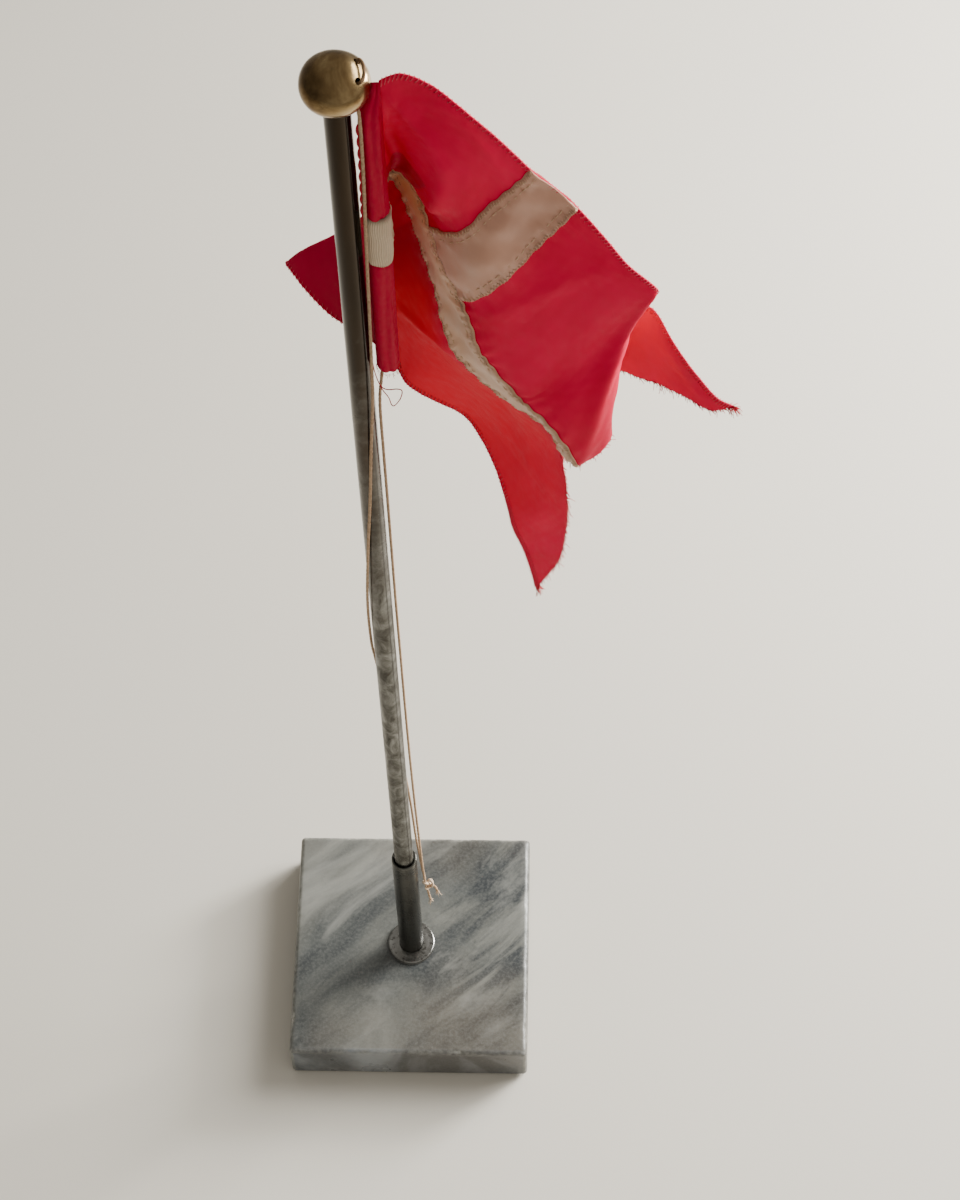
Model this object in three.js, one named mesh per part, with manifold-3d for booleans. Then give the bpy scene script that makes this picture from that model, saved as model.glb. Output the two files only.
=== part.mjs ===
// Desk flag stand: a square marble slab with a socket tube, a round pole with a ball finial,
// a halyard of thin cord, and a small swallow-tailed flag with a sewn ribbon cross.
// Millimetres, +Z up. The origin is the centre of the underside. +X is the side the flag flies to.

import * as THREE from 'three';
import { mergeVertices } from 'three/addons/utils/BufferGeometryUtils.js';
import Module from 'manifold-3d';

const wasm = await Module();
wasm.setup();

// ---- Driving dimensions -------------------------------------------------------------------

const padThickness = 1;
const padInset = 3;
const slabSide = 80;
const slabThickness = 18;
const slabCornerRadius = 1.2;
const slabTopArris = 1.7;
const slabBottomArris = 0.5;

const studDiameter = 4;
const studHoleClearance = 0.5;
const nutAcrossFlats = 7;
const nutHeight = 3.2;
const washerDiameter = 9;
const washerThickness = 0.8;
const counterboreClearance = 2;
const counterboreDepth = 6;

const flangeDiameter = 16;
const flangeThickness = 1.4;
const flangeRimRadius = 0.5;

const poleDiameter = 6;
const poleWall = 0.7;
const poleLength = 429.5;

const socketHeight = 68;
const socketWall = 0.75;
const socketFloor = 5;
const socketStudDepth = 3.5;
const rimRadius = 0.3;

const footHeadHeight = 1;
const footPlugLength = 8;

const ballDiameter = 15.2;
const ballHeight = 12.4;
const ballWall = 0.7;
const poleIntoBall = 2.6;

const cordDiameter = 0.8;
const cordHole = 1.8;

const sleeveDiameter = 5.6;
const sleeveWall = 0.6;
const hoist = 97;
const ribbonWidth = 16;
const clothThickness = 0.8;

// ---- Clearances ---------------------------------------------------------------------------

const seat = 0.05; // between two faces that rest on each other
const turnGap = 0.05; // radial, the foot plug in the pole
const fitGap = 0.1; // radial, the stud in the socket's floor and in the nut and washer
const poleGap = 0.3; // radial, the pole in the socket
const flangeGap = 0.1; // radial, the flange round the socket
const cordGap = 0.3; // between the cord and the knot or a bight
const seamGap = 0.15; // from the edge of a piece of cloth to the seam line
const sleeveTopGap = 1.2; // from the ball's widest point down to the sleeve, beside the pole

// ---- Places worked out from the dimensions ------------------------------------------------

const slabBottomZ = padThickness + seat;
const slabTopZ = slabBottomZ + slabThickness;
const counterboreTopZ = slabBottomZ + counterboreDepth;
const socketBaseZ = slabTopZ + seat;
const socketTopZ = slabTopZ + socketHeight;
const socketBoreRadius = poleDiameter / 2 + poleGap;
const socketRadius = socketBoreRadius + socketWall;
const footZ = socketBaseZ + socketFloor + seat;
const poleBottomZ = footZ + footHeadHeight + seat;
const poleTopZ = poleBottomZ + poleLength;
const poleBore = poleDiameter / 2 - poleWall;
const ballZ = poleTopZ - poleIntoBall + ballHeight / 2;
const sleeveX = 6.8;
const sleeveTopZ = ballZ - ballHeight / 2 - sleeveTopGap;
const sleeveFootZ = ballZ - hoist - 1.5;
const cantonDepth = (hoist - ribbonWidth) / 2;

// ---- Materials ----------------------------------------------------------------------------

const finish = (color, roughness, metalness) =>
  new THREE.MeshStandardMaterial({ color, roughness, metalness });

const marble = finish(0xb9b6ae, 0.35, 0);
const felt = finish(0x2f3a33, 0.95, 0);
const steel = finish(0x8e8f90, 0.35, 1);
const chrome = finish(0xd8d8d6, 0.12, 1);
const darkChrome = finish(0x4a4641, 0.25, 1);
const brass = finish(0x9a8454, 0.3, 1);
const plastic = finish(0x1c1c1c, 0.6, 0);
const cordFibre = finish(0xb09a7c, 0.85, 0);
const redCloth = finish(0xb5101c, 0.6, 0);
const ribbonCloth = finish(0xcdb9a0, 0.55, 0);

// ---- Geometry helpers ---------------------------------------------------------------------

const model = new THREE.Group();

function add(name, geometry, material, parent = model) {
  const mesh = new THREE.Mesh(geometry, material);
  mesh.name = name;
  parent.add(mesh);
  return mesh;
}

function toSolid(geometry) {
  const bare = geometry.clone();
  bare.deleteAttribute('normal');
  bare.deleteAttribute('uv');
  const merged = mergeVertices(bare, 1e-4);
  const vertProperties = new Float32Array(merged.attributes.position.array);
  const triVerts = new Uint32Array(merged.index.array);
  return new wasm.Manifold(new wasm.Mesh({ numProp: 3, vertProperties, triVerts }));
}

function toGeometry(solid) {
  const mesh = solid.getMesh();
  const geometry = new THREE.BufferGeometry();
  geometry.setAttribute('position', new THREE.BufferAttribute(mesh.vertProperties, 3));
  geometry.setIndex(new THREE.BufferAttribute(mesh.triVerts, 1));
  geometry.computeVertexNormals();
  return geometry;
}

function cut(geometry, cutters) {
  let solid = toSolid(geometry);
  for (const cutter of cutters) solid = solid.subtract(toSolid(cutter));
  return toGeometry(solid);
}

// A rod along +Z from z0 to z1.
function rod(radius, z0, z1, segments = 32) {
  const geometry = new THREE.CylinderGeometry(radius, radius, z1 - z0, segments);
  return geometry.rotateX(Math.PI / 2).translate(0, 0, (z0 + z1) / 2);
}

// A solid of revolution about Z from [radius, z] pairs. A profile that stays off the axis is
// closed back to its first point, so it makes a ring or a tube.
function turned(profile, segments = 48) {
  const points = profile.map(([r, z]) => new THREE.Vector2(r, z));
  const offAxis = points[0].x > 0 && points[points.length - 1].x > 0;
  if (offAxis) points.push(points[0].clone());
  const geometry = new THREE.LatheGeometry(points, segments).rotateX(Math.PI / 2);
  const solid = toSolid(geometry);
  if (solid.volume() > 0) return toGeometry(solid);
  const index = geometry.index.array;
  for (let i = 0; i < index.length; i += 3) [index[i], index[i + 1]] = [index[i + 1], index[i]];
  return toGeometry(toSolid(geometry));
}

// [radius, z] pairs of a circular arc in the turned profile's plane.
function arc(centreR, centreZ, radius, fromDeg, toDeg, steps) {
  const points = [];
  for (let i = 0; i <= steps; i++) {
    const a = THREE.MathUtils.degToRad(fromDeg + ((toDeg - fromDeg) * i) / steps);
    points.push([centreR + radius * Math.cos(a), centreZ + radius * Math.sin(a)]);
  }
  return points;
}

// The outline of a square with round corners, as points at one height.
function roundedSquare(side, cornerRadius, z, steps = 5) {
  const reach = side / 2 - cornerRadius;
  const points = [];
  for (let corner = 0; corner < 4; corner++) {
    const middle = Math.PI / 4 + (corner * Math.PI) / 2;
    const centreX = reach * Math.sign(Math.cos(middle));
    const centreY = reach * Math.sign(Math.sin(middle));
    for (let i = 0; i <= steps; i++) {
      const a = middle - Math.PI / 4 + (i / steps) * (Math.PI / 2);
      const x = centreX + cornerRadius * Math.cos(a);
      const y = centreY + cornerRadius * Math.sin(a);
      points.push(new THREE.Vector3(x, y, z));
    }
  }
  return points;
}

// A closed solid through a stack of outlines with equal point counts, lowest first.
function loft(outlines) {
  const count = outlines[0].length;
  const positions = outlines.flat().flatMap((p) => [p.x, p.y, p.z]);
  const index = [];
  for (let level = 0; level + 1 < outlines.length; level++) {
    for (let i = 0; i < count; i++) {
      const a = level * count + i;
      const b = level * count + ((i + 1) % count);
      index.push(a, b, b + count, a, b + count, a + count);
    }
  }
  const top = (outlines.length - 1) * count;
  for (let i = 1; i + 1 < count; i++) {
    index.push(0, i + 1, i);
    index.push(top, top + i, top + i + 1);
  }
  const geometry = new THREE.BufferGeometry();
  geometry.setAttribute('position', new THREE.Float32BufferAttribute(positions, 3));
  geometry.setIndex(index);
  geometry.computeVertexNormals();
  return geometry;
}

// A square block whose lower and upper edges are rounded off.
function softBlock(side, cornerRadius, z0, z1, bottomArris, topArris, steps = 4) {
  const outlines = [];
  for (let i = 0; i <= steps; i++) {
    const a = (i / steps) * (Math.PI / 2);
    const inset = bottomArris * (1 - Math.sin(a));
    const z = z0 + bottomArris * (1 - Math.cos(a));
    outlines.push(roundedSquare(side - 2 * inset, cornerRadius, z));
  }
  for (let i = 0; i <= steps; i++) {
    const a = (i / steps) * (Math.PI / 2);
    const inset = topArris * (1 - Math.cos(a));
    const z = z1 - topArris * (1 - Math.sin(a));
    outlines.push(roundedSquare(side - 2 * inset, cornerRadius, z));
  }
  return loft(outlines);
}

// A tube of cord through a list of points.
function cordTube(points, steps) {
  const path = new THREE.CatmullRomCurve3(points.map((p) => new THREE.Vector3(...p)));
  const section = new THREE.Shape();
  const sides = 8;
  for (let i = 0; i < sides; i++) {
    const a = (i / sides) * 2 * Math.PI;
    const x = (cordDiameter / 2) * Math.cos(a);
    const y = (cordDiameter / 2) * Math.sin(a);
    if (i === 0) section.moveTo(x, y);
    else section.lineTo(x, y);
  }
  section.closePath();
  return new THREE.ExtrudeGeometry(section, { extrudePath: path, steps, bevelEnabled: false });
}

// A piece of cloth between two edges, each a list of as many [x, y, z] points, made solid.
// It stops short of its seams all round by seamGap.
function clothPanel(edgeA, edgeB, across = 3, refine = 3) {
  const curveA = new THREE.CatmullRomCurve3(edgeA.map((p) => new THREE.Vector3(...p)));
  const curveB = new THREE.CatmullRomCurve3(edgeB.map((p) => new THREE.Vector3(...p)));
  const along = (edgeA.length - 1) * refine;
  const shareAlong = seamGap / Math.min(curveA.getLength(), curveB.getLength());
  const grid = [];
  for (let i = 0; i <= along; i++) {
    const t = THREE.MathUtils.lerp(shareAlong, 1 - shareAlong, i / along);
    const a = curveA.getPoint(t);
    const b = curveB.getPoint(t);
    const shareAcross = Math.min(seamGap / a.distanceTo(b), 0.3);
    const row = [];
    for (let j = 0; j <= across; j++) {
      row.push(a.clone().lerp(b, THREE.MathUtils.lerp(shareAcross, 1 - shareAcross, j / across)));
    }
    grid.push(row);
  }
  return thicken(grid);
}

// A closed solid of clothThickness about a grid of points.
function thicken(grid) {
  const rows = grid.length;
  const columns = grid[0].length;
  const positions = [];
  for (const side of [1, -1]) {
    for (let i = 0; i < rows; i++) {
      for (let j = 0; j < columns; j++) {
        const before = grid[Math.max(i - 1, 0)][j];
        const after = grid[Math.min(i + 1, rows - 1)][j];
        const left = grid[i][Math.max(j - 1, 0)];
        const right = grid[i][Math.min(j + 1, columns - 1)];
        const normal = after.clone().sub(before).cross(right.clone().sub(left)).normalize();
        const p = grid[i][j].clone().addScaledVector(normal, (side * clothThickness) / 2);
        positions.push(p.x, p.y, p.z);
      }
    }
  }
  const front = (i, j) => i * columns + j;
  const back = (i, j) => rows * columns + i * columns + j;
  const index = [];
  const quad = (a, b, c, d) => index.push(a, b, c, a, c, d);
  for (let i = 0; i + 1 < rows; i++) {
    for (let j = 0; j + 1 < columns; j++) {
      quad(front(i, j), front(i + 1, j), front(i + 1, j + 1), front(i, j + 1));
      quad(back(i, j), back(i, j + 1), back(i + 1, j + 1), back(i + 1, j));
    }
    quad(front(i, 0), back(i, 0), back(i + 1, 0), front(i + 1, 0));
    const last = columns - 1;
    quad(front(i, last), front(i + 1, last), back(i + 1, last), back(i, last));
  }
  for (let j = 0; j + 1 < columns; j++) {
    const last = rows - 1;
    quad(front(0, j), front(0, j + 1), back(0, j + 1), back(0, j));
    quad(front(last, j), back(last, j), back(last, j + 1), front(last, j + 1));
  }
  const geometry = new THREE.BufferGeometry();
  geometry.setAttribute('position', new THREE.Float32BufferAttribute(positions, 3));
  geometry.setIndex(index);
  geometry.computeVertexNormals();
  return geometry;
}

// ---- Base: slab, pad and the stud that holds the socket -----------------------------------

function buildBase() {
  const padSide = slabSide - 2 * padInset;
  add('felt_pad', softBlock(padSide, slabCornerRadius + 1, 0, padThickness, 0.1, 0.1, 1), felt);

  const block = softBlock(
    slabSide, slabCornerRadius, slabBottomZ, slabTopZ, slabBottomArris, slabTopArris,
  );
  const counterboreRadius = washerDiameter / 2 + counterboreClearance;
  const studHole = rod(studDiameter / 2 + studHoleClearance, slabBottomZ - 1, slabTopZ + 1);
  const counterbore = rod(counterboreRadius, slabBottomZ - 1, counterboreTopZ, 40);
  add('marble_slab', cut(block, [studHole, counterbore]), marble);

  const washerTopZ = counterboreTopZ - seat;
  const washerBottomZ = washerTopZ - washerThickness;
  const boreRadius = studDiameter / 2 + fitGap;
  const washer = cut(rod(washerDiameter / 2, washerBottomZ, washerTopZ), [
    rod(boreRadius, washerBottomZ - 1, washerTopZ + 1),
  ]);
  add('stud_washer', washer, steel);

  const nutTopZ = washerBottomZ - seat;
  const nutBottomZ = nutTopZ - nutHeight;
  const nutRadius = nutAcrossFlats / 2 / Math.cos(Math.PI / 6);
  const nut = cut(rod(nutRadius, nutBottomZ, nutTopZ, 6), [
    rod(boreRadius, nutBottomZ - 1, nutTopZ + 1),
  ]);
  add('stud_nut', nut, steel);

  const studTopZ = socketBaseZ + socketStudDepth - seat;
  const studBottomZ = nutBottomZ - 0.6;
  add('socket_stud', rod(studDiameter / 2, studBottomZ, studTopZ, 24), steel);
}

// ---- Socket: the tube the pole stands in, and the flange round its foot -------------------

function buildSocket() {
  const studBore = studDiameter / 2 + fitGap;
  const floorTopZ = socketBaseZ + socketFloor;
  const lip = socketTopZ - rimRadius;
  const tube = turned([
    [studBore, socketBaseZ],
    [socketRadius, socketBaseZ],
    ...arc(socketRadius - rimRadius, lip, rimRadius, 0, 90, 4),
    ...arc(socketBoreRadius + rimRadius, lip, rimRadius, 90, 180, 4),
    [socketBoreRadius, floorTopZ],
    [0, floorTopZ],
    [0, socketBaseZ + socketStudDepth],
    [studBore, socketBaseZ + socketStudDepth],
  ]);
  add('socket_tube', tube, darkChrome);

  const innerRadius = socketRadius + flangeGap;
  const outerRadius = flangeDiameter / 2;
  const topZ = socketBaseZ + flangeThickness;
  const rim = arc(outerRadius - flangeRimRadius, topZ - flangeRimRadius, flangeRimRadius, 0, 90, 5);
  const flange = turned([
    [innerRadius, socketBaseZ],
    [outerRadius, socketBaseZ],
    ...rim,
    [innerRadius, topZ],
  ]);
  add('socket_flange', flange, chrome);
}

// ---- Pole ---------------------------------------------------------------------------------

function buildPole() {
  const plugRadius = poleBore - turnGap;
  const plug = turned([
    [0, footZ],
    [poleDiameter / 2, footZ],
    [poleDiameter / 2, footZ + footHeadHeight],
    [plugRadius, footZ + footHeadHeight],
    [plugRadius, footZ + footHeadHeight + footPlugLength],
    [0, footZ + footHeadHeight + footPlugLength],
  ]);
  add('pole_foot_plug', plug, plastic);

  const tube = turned([
    [poleBore, poleBottomZ],
    [poleDiameter / 2, poleBottomZ],
    [poleDiameter / 2, poleTopZ],
    [poleBore, poleTopZ],
  ]);
  add('pole_tube', tube, darkChrome);
}

// ---- Ball finial: a hollow flattened ball with the holes the halyard runs through ---------

// The two holes under the ball, as [x, y] from its axis, and the two on its upper right, as
// [degrees round from +X, degrees up from the middle].
const underHoles = [[4.8, -3.0], [6.3, 0.25]];
const sideHoles = [[23, 47], [-28, 39]];

function buildBall() {
  const outerR = ballDiameter / 2;
  const outerH = ballHeight / 2;
  const innerR = outerR - ballWall;
  const innerH = outerH - ballWall;
  const neck = poleDiameter / 2 + seat;
  const steps = 16;
  const shellArc = (r, h, fromDeg, toDeg) => {
    const points = [];
    for (let i = 0; i <= steps; i++) {
      const a = THREE.MathUtils.degToRad(fromDeg + ((toDeg - fromDeg) * i) / steps);
      points.push([r * Math.cos(a), ballZ + h * Math.sin(a)]);
    }
    return points;
  };
  const outerNeckDeg = -THREE.MathUtils.radToDeg(Math.acos(neck / outerR));
  const innerNeckDeg = -THREE.MathUtils.radToDeg(Math.acos(neck / innerR));
  const outer = shellArc(outerR, outerH, outerNeckDeg, 90);
  const inner = shellArc(innerR, innerH, 90, innerNeckDeg);
  outer[steps][0] = 0;
  inner[0][0] = 0;
  const shell = turned([...outer, ...inner, outer[0]]);
  const under = underHoles.map(([x, y]) =>
    rod(cordHole / 2, ballZ - outerH, ballZ, 16).translate(x, y, 0));
  const side = sideHoles.map(([round, up]) => {
    const roundAngle = THREE.MathUtils.degToRad(round);
    const upAngle = THREE.MathUtils.degToRad(up);
    const place = new THREE.Vector3(
      outerR * Math.cos(upAngle) * Math.cos(roundAngle),
      outerR * Math.cos(upAngle) * Math.sin(roundAngle),
      outerH * Math.sin(upAngle),
    );
    const turn = new THREE.Quaternion().setFromUnitVectors(
      new THREE.Vector3(0, 0, 1), place.clone().normalize(),
    );
    const drill = rod(cordHole / 2, -3 * ballWall, 3 * ballWall, 16);
    return drill.applyQuaternion(turn).translate(place.x, place.y, place.z + ballZ);
  });
  add('ball_finial', cut(shell, [...under, ...side]), brass);
}

// ---- Halyard: one thin cord over the ball, both ends tied in a knot by the socket ---------
// Points in millimetres from the origin, chosen by hand; the cord crosses round the pole.

const outerStrand = [
  [4.4, -2.8, 454.6], [4.9, -3.1, 451], [4.8, -3.1, 434], [4.3, -3.0, 414], [3.7, -2.9, 388],
  [3.2, -3.0, 365], [2.7, -3.3, 349], [1.3, -3.8, 328], [0, -3.9, 306], [-1.8, -3.5, 281],
  [-3.4, -2.0, 253], [-3.8, 0.6, 228], [-3.3, 2.3, 214], [-1.2, 3.8, 184], [1.4, 3.9, 150],
  [3.1, 3.2, 123], [3.9, 3.4, 98], [4.5, 3.4, 86], [5.3, 2.2, 76], [6.1, 0.7, 70.6],
];
const innerStrand = [
  [5.9, 0.3, 455.2], [6.5, 0.2, 451], [6.9, 0, 436], [6.8, 0, 410], [6.6, 0, 385],
  [6.0, 0, 364], [5.0, -0.3, 355], [4.1, -0.4, 344], [4.0, -0.2, 323], [4.0, 0, 300],
  [4.0, 0, 276], [4.0, 0, 250], [4.1, 0, 223], [4.2, 0, 194], [4.4, 0, 162],
  [4.8, -0.1, 129], [5.2, -0.2, 108], [5.5, -0.3, 94], [5.8, -0.5, 82], [6.2, -0.6, 70.6],
];
const bight = [
  [4.2, 1.8, 461.6], [5.1, 2.2, 463.2], [5.9, 1.3, 463.4], [6.3, -0.4, 463.1],
  [6.2, -2.2, 462.5], [5.6, -3.1, 462.2], [4.7, -2.4, 460.8],
];
const longTail = [[6.7, -0.2, 66.3], [7.0, -0.4, 63], [7.3, -0.6, 60], [7.7, -0.7, 57]];
const shortTail = [[8.0, -0.2, 67.6], [8.9, -0.3, 67], [9.7, -0.5, 65.4], [10.1, -0.7, 63.4]];
const knotCentre = [6.8, 0, 68.4];
const knotRadius = 1.35;

function buildHalyard() {
  add('halyard_outer_strand', cordTube(outerStrand, 38), cordFibre);
  add('halyard_inner_strand', cordTube(innerStrand, 38), cordFibre);
  add('halyard_bight', cordTube(bight, 10), cordFibre);
  add('halyard_long_tail', cordTube(longTail, 4), cordFibre);
  add('halyard_short_tail', cordTube(shortTail, 4), cordFibre);
  const knot = new THREE.SphereGeometry(knotRadius - cordGap, 16, 10);
  knot.scale(1.25, 1, 1.25).translate(...knotCentre);
  add('halyard_knot', knot, cordFibre);
}

// ---- Flag ---------------------------------------------------------------------------------
// The cloth hangs from its sleeve. The lower half goes round behind the pole, folds at the
// left and comes back to the right; the upper half hangs in front of it. Points are [x, y, z]
// from the pole's axis and from the middle of the ball.

const sleeveReach = sleeveDiameter / 2 + clothThickness / 2 + 0.2;
const ballReach = ballDiameter / 2 + clothThickness / 2 + 0.4;
const bySleeve = (angleDeg, z) => {
  const a = THREE.MathUtils.degToRad(angleDeg);
  return [sleeveX + sleeveReach * Math.cos(a), sleeveReach * Math.sin(a), z];
};
const flagPoints = {
  sleeveTop: [Math.max(ballReach, sleeveX + sleeveReach), 0.4, -1.6],
  hemRise: [19, -1, -0.5],
  hemCantonEnd: [40, 0, -26.4],
  hemRibbonEnd: [50.5, 0, -39.9],
  hemPanel: [62, -0.5, -59.9],
  hemFold: [68.5, 0, -68.7],
  cantonFoot: bySleeve(0, -cantonDepth),
  cantonValley: [14, 3.5, -50],
  crossInner: [18.5, 2, -57.4],
  crossOuter: [28.5, 0, -73.4],
  panelFoot: [37, -3, -99],
  crotch: [46.4, -4, -120.9],
  ribbonCut: [52.4, -5, -134.8],
  rawFold: [60.3, -3, -123.6],
  backHem: [48, 7, -80],
  backRaw: [50, 6, -112],
  tailHem: [66, 8, -85],
  tailRaw: [63, 8, -111],
  tailHemEnd: [80.5, 8, -114],
  tailRawEnd: [78, 8, -120],
  tailTip: [89, 8, -125.4],
  tailTipLow: [88, 8, -127],
  ribbonTop: bySleeve(35, -cantonDepth),
  ribbonBackTop: [14, 15, -48],
  ribbonMidTop: [16.5, 9.5, -54],
  ribbonCentreTop: [20, 6, -62],
  ribbonFoot: bySleeve(60, -cantonDepth - ribbonWidth),
  ribbonBackFoot: [7, 14, -57],
  ribbonMidFoot: [12, 14, -66],
  ribbonCentreFoot: [17, 10, -80],
  ribbonFlyTop: [30, 4, -98],
  ribbonFlyFoot: [26, 4, -104],
  ribbonEndTop: [44.5, -1, -122],
  ribbonEndFoot: [43, -1, -124],
  hoistLowTop: bySleeve(66, -cantonDepth - ribbonWidth - 1.5),
  hoistLowFoot: bySleeve(66, -hoist),
  backFoldTop: [-2.6, 12, -60],
  backFoldFoot: [-13.7, 15, -79.4],
  returnTop: [3, 14.5, -66],
  returnFoot: [-7.9, 15.4, -88],
  armLowTop: [13, 13, -78],
  armLowFoot: [0.6, 12.6, -100],
  flyLowTop: [24, 5.5, -106],
  flyLowFoot: [9, 10, -112.4],
  flyMidTop: [42, 0, -126],
  flyMidFoot: [26, 4, -131],
  tailLowTop: [49.8, 0, -152.4],
  tailLowFoot: [33, 3.5, -159.4],
  tailPointTop: [49.3, 2, -175.4],
  tailPointFoot: [38, 5, -191.4],
  lowTip: [42.8, 6, -210.5],
  lowTipFoot: [42.0, 6, -210.8],
};

function buildFlag() {
  const flag = new THREE.Group();
  flag.position.z = ballZ;
  model.add(flag);

  const ringBore = sleeveDiameter / 2 - sleeveWall;
  const bandTop = sleeveFootZ + (hoist + ribbonWidth) / 2;
  const bandFoot = bandTop - ribbonWidth;
  const sleeveRing = (name, z0, z1, material) => {
    const ring = turned([
      [ringBore, z0],
      [sleeveDiameter / 2, z0],
      [sleeveDiameter / 2, z1],
      [ringBore, z1],
    ], 24);
    add(name, ring.translate(sleeveX, 0, 0), material);
  };
  sleeveRing('sleeve_upper', bandTop + seamGap, sleeveTopZ, redCloth);
  sleeveRing('sleeve_band', bandFoot + seamGap, bandTop - seamGap, ribbonCloth);
  sleeveRing('sleeve_lower', sleeveFootZ, bandFoot - seamGap, redCloth);

  const panel = (name, namesA, namesB, material, across, refine) => {
    const edge = (names) => names.split(' ').map((key) => flagPoints[key]);
    add(name, clothPanel(edge(namesA), edge(namesB), across, refine), material, flag);
  };
  panel('upper_hoist_field', 'sleeveTop hemRise hemCantonEnd',
    'cantonFoot cantonValley crossInner', redCloth, 4, 4);
  panel('vertical_ribbon_upper', 'hemCantonEnd crossInner',
    'hemRibbonEnd crossOuter', ribbonCloth, 2, 4);
  panel('upper_fly_field', 'hemRibbonEnd hemPanel hemFold',
    'crossOuter crotch rawFold', redCloth, 4, 4);
  panel('upper_fly_tail', 'backHem tailHem tailHemEnd tailTip',
    'backRaw tailRaw tailRawEnd tailTipLow', redCloth, 3, 3);
  panel('horizontal_ribbon_hoist', 'ribbonTop ribbonBackTop ribbonMidTop ribbonCentreTop',
    'ribbonFoot ribbonBackFoot ribbonMidFoot ribbonCentreFoot', ribbonCloth, 3, 4);
  panel('horizontal_ribbon_fly', 'ribbonCentreTop ribbonFlyTop ribbonEndTop',
    'ribbonCentreFoot ribbonFlyFoot ribbonEndFoot', ribbonCloth, 2, 4);
  panel('lower_hoist_field', 'hoistLowTop backFoldTop',
    'hoistLowFoot backFoldFoot', redCloth, 3, 4);
  panel('vertical_ribbon_lower', 'returnTop armLowTop',
    'returnFoot armLowFoot', ribbonCloth, 3, 4);
  panel('lower_fly_field', 'armLowTop flyLowTop flyMidTop',
    'armLowFoot flyLowFoot flyMidFoot', redCloth, 3, 4);
  panel('lower_fly_tail', 'flyMidTop tailLowTop tailPointTop lowTip',
    'flyMidFoot tailLowFoot tailPointFoot lowTipFoot', redCloth, 3, 3);
}

buildBase();
buildSocket();
buildPole();
buildBall();
buildHalyard();
buildFlag();

export default model;
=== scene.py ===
"""Desk flag stand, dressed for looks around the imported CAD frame. Metres, +Z up."""

import math
import random

import bmesh
import bpy
import numpy as np
from mathutils import Matrix, Vector, noise


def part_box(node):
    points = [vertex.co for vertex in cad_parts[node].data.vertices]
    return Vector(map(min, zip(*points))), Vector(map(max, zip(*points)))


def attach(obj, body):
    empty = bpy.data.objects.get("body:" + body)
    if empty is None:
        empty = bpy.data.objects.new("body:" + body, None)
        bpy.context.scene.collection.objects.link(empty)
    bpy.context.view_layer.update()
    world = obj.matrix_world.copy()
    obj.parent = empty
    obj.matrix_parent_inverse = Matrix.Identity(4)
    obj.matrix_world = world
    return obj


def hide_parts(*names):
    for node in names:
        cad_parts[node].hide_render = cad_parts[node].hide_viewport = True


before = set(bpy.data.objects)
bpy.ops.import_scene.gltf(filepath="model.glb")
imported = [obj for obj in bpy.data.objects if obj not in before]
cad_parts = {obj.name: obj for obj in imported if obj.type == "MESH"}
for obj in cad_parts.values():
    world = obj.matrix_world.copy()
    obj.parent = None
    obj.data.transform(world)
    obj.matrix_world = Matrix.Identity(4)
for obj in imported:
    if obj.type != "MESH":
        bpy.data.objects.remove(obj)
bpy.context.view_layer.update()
MM = 0.001
random.seed(7)

# ---- Places read from the frame ------------------------------------------------------------

slab_low, slab_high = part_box("marble_slab")
ball_low, ball_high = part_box("ball_finial")
pole_low, pole_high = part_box("pole_tube")
socket_low, socket_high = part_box("socket_tube")
flange_low, flange_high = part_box("socket_flange")
sleeve_low, sleeve_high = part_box("sleeve_lower")
band_low, band_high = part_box("sleeve_band")
top_sleeve_low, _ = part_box("sleeve_upper")

SLAB_SIDE = slab_high[0] - slab_low[0]
SLAB_TOP = slab_high[2]
POLE_R = (pole_high[0] - pole_low[0]) / 2
SOCKET_R = (socket_high[0] - socket_low[0]) / 2
FLANGE_R = (flange_high[0] - flange_low[0]) / 2
BALL_R = (ball_high[0] - ball_low[0]) / 2
BALL_HALF = 6.2 * MM  # the ball is a little flat
BALL_Z = ball_high[2] - BALL_HALF
SLEEVE_X = (sleeve_low[0] + sleeve_high[0]) / 2
SLEEVE_R = (sleeve_high[0] - sleeve_low[0]) / 2

# ---- Camera --------------------------------------------------------------------------------


def make_camera():
    """A long lens well above the stand, looking down at it."""
    place = Vector((0.0442, -0.3772, 0.8894))
    down, turn, roll = math.radians(59.41), math.radians(-2.64), math.radians(-1.66)
    look = Vector(
        (math.sin(turn) * math.cos(down), math.cos(turn) * math.cos(down), -math.sin(down))
    )
    level = Vector((math.cos(turn), -math.sin(turn), 0))
    above = level.cross(look)
    right = level * math.cos(roll) + above * math.sin(roll)
    up = above * math.cos(roll) - level * math.sin(roll)
    data = bpy.data.cameras.new("camera")
    data.lens = 82.47
    data.sensor_width = 36
    data.clip_start = 0.01
    camera = bpy.data.objects.new("camera", data)
    bpy.context.scene.collection.objects.link(camera)
    turned = Matrix((right, up, -look)).transposed()
    camera.matrix_world = Matrix.Translation(place) @ turned.to_4x4()
    bpy.context.scene.camera = camera


make_camera()

# ---- Materials -----------------------------------------------------------------------------


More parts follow.
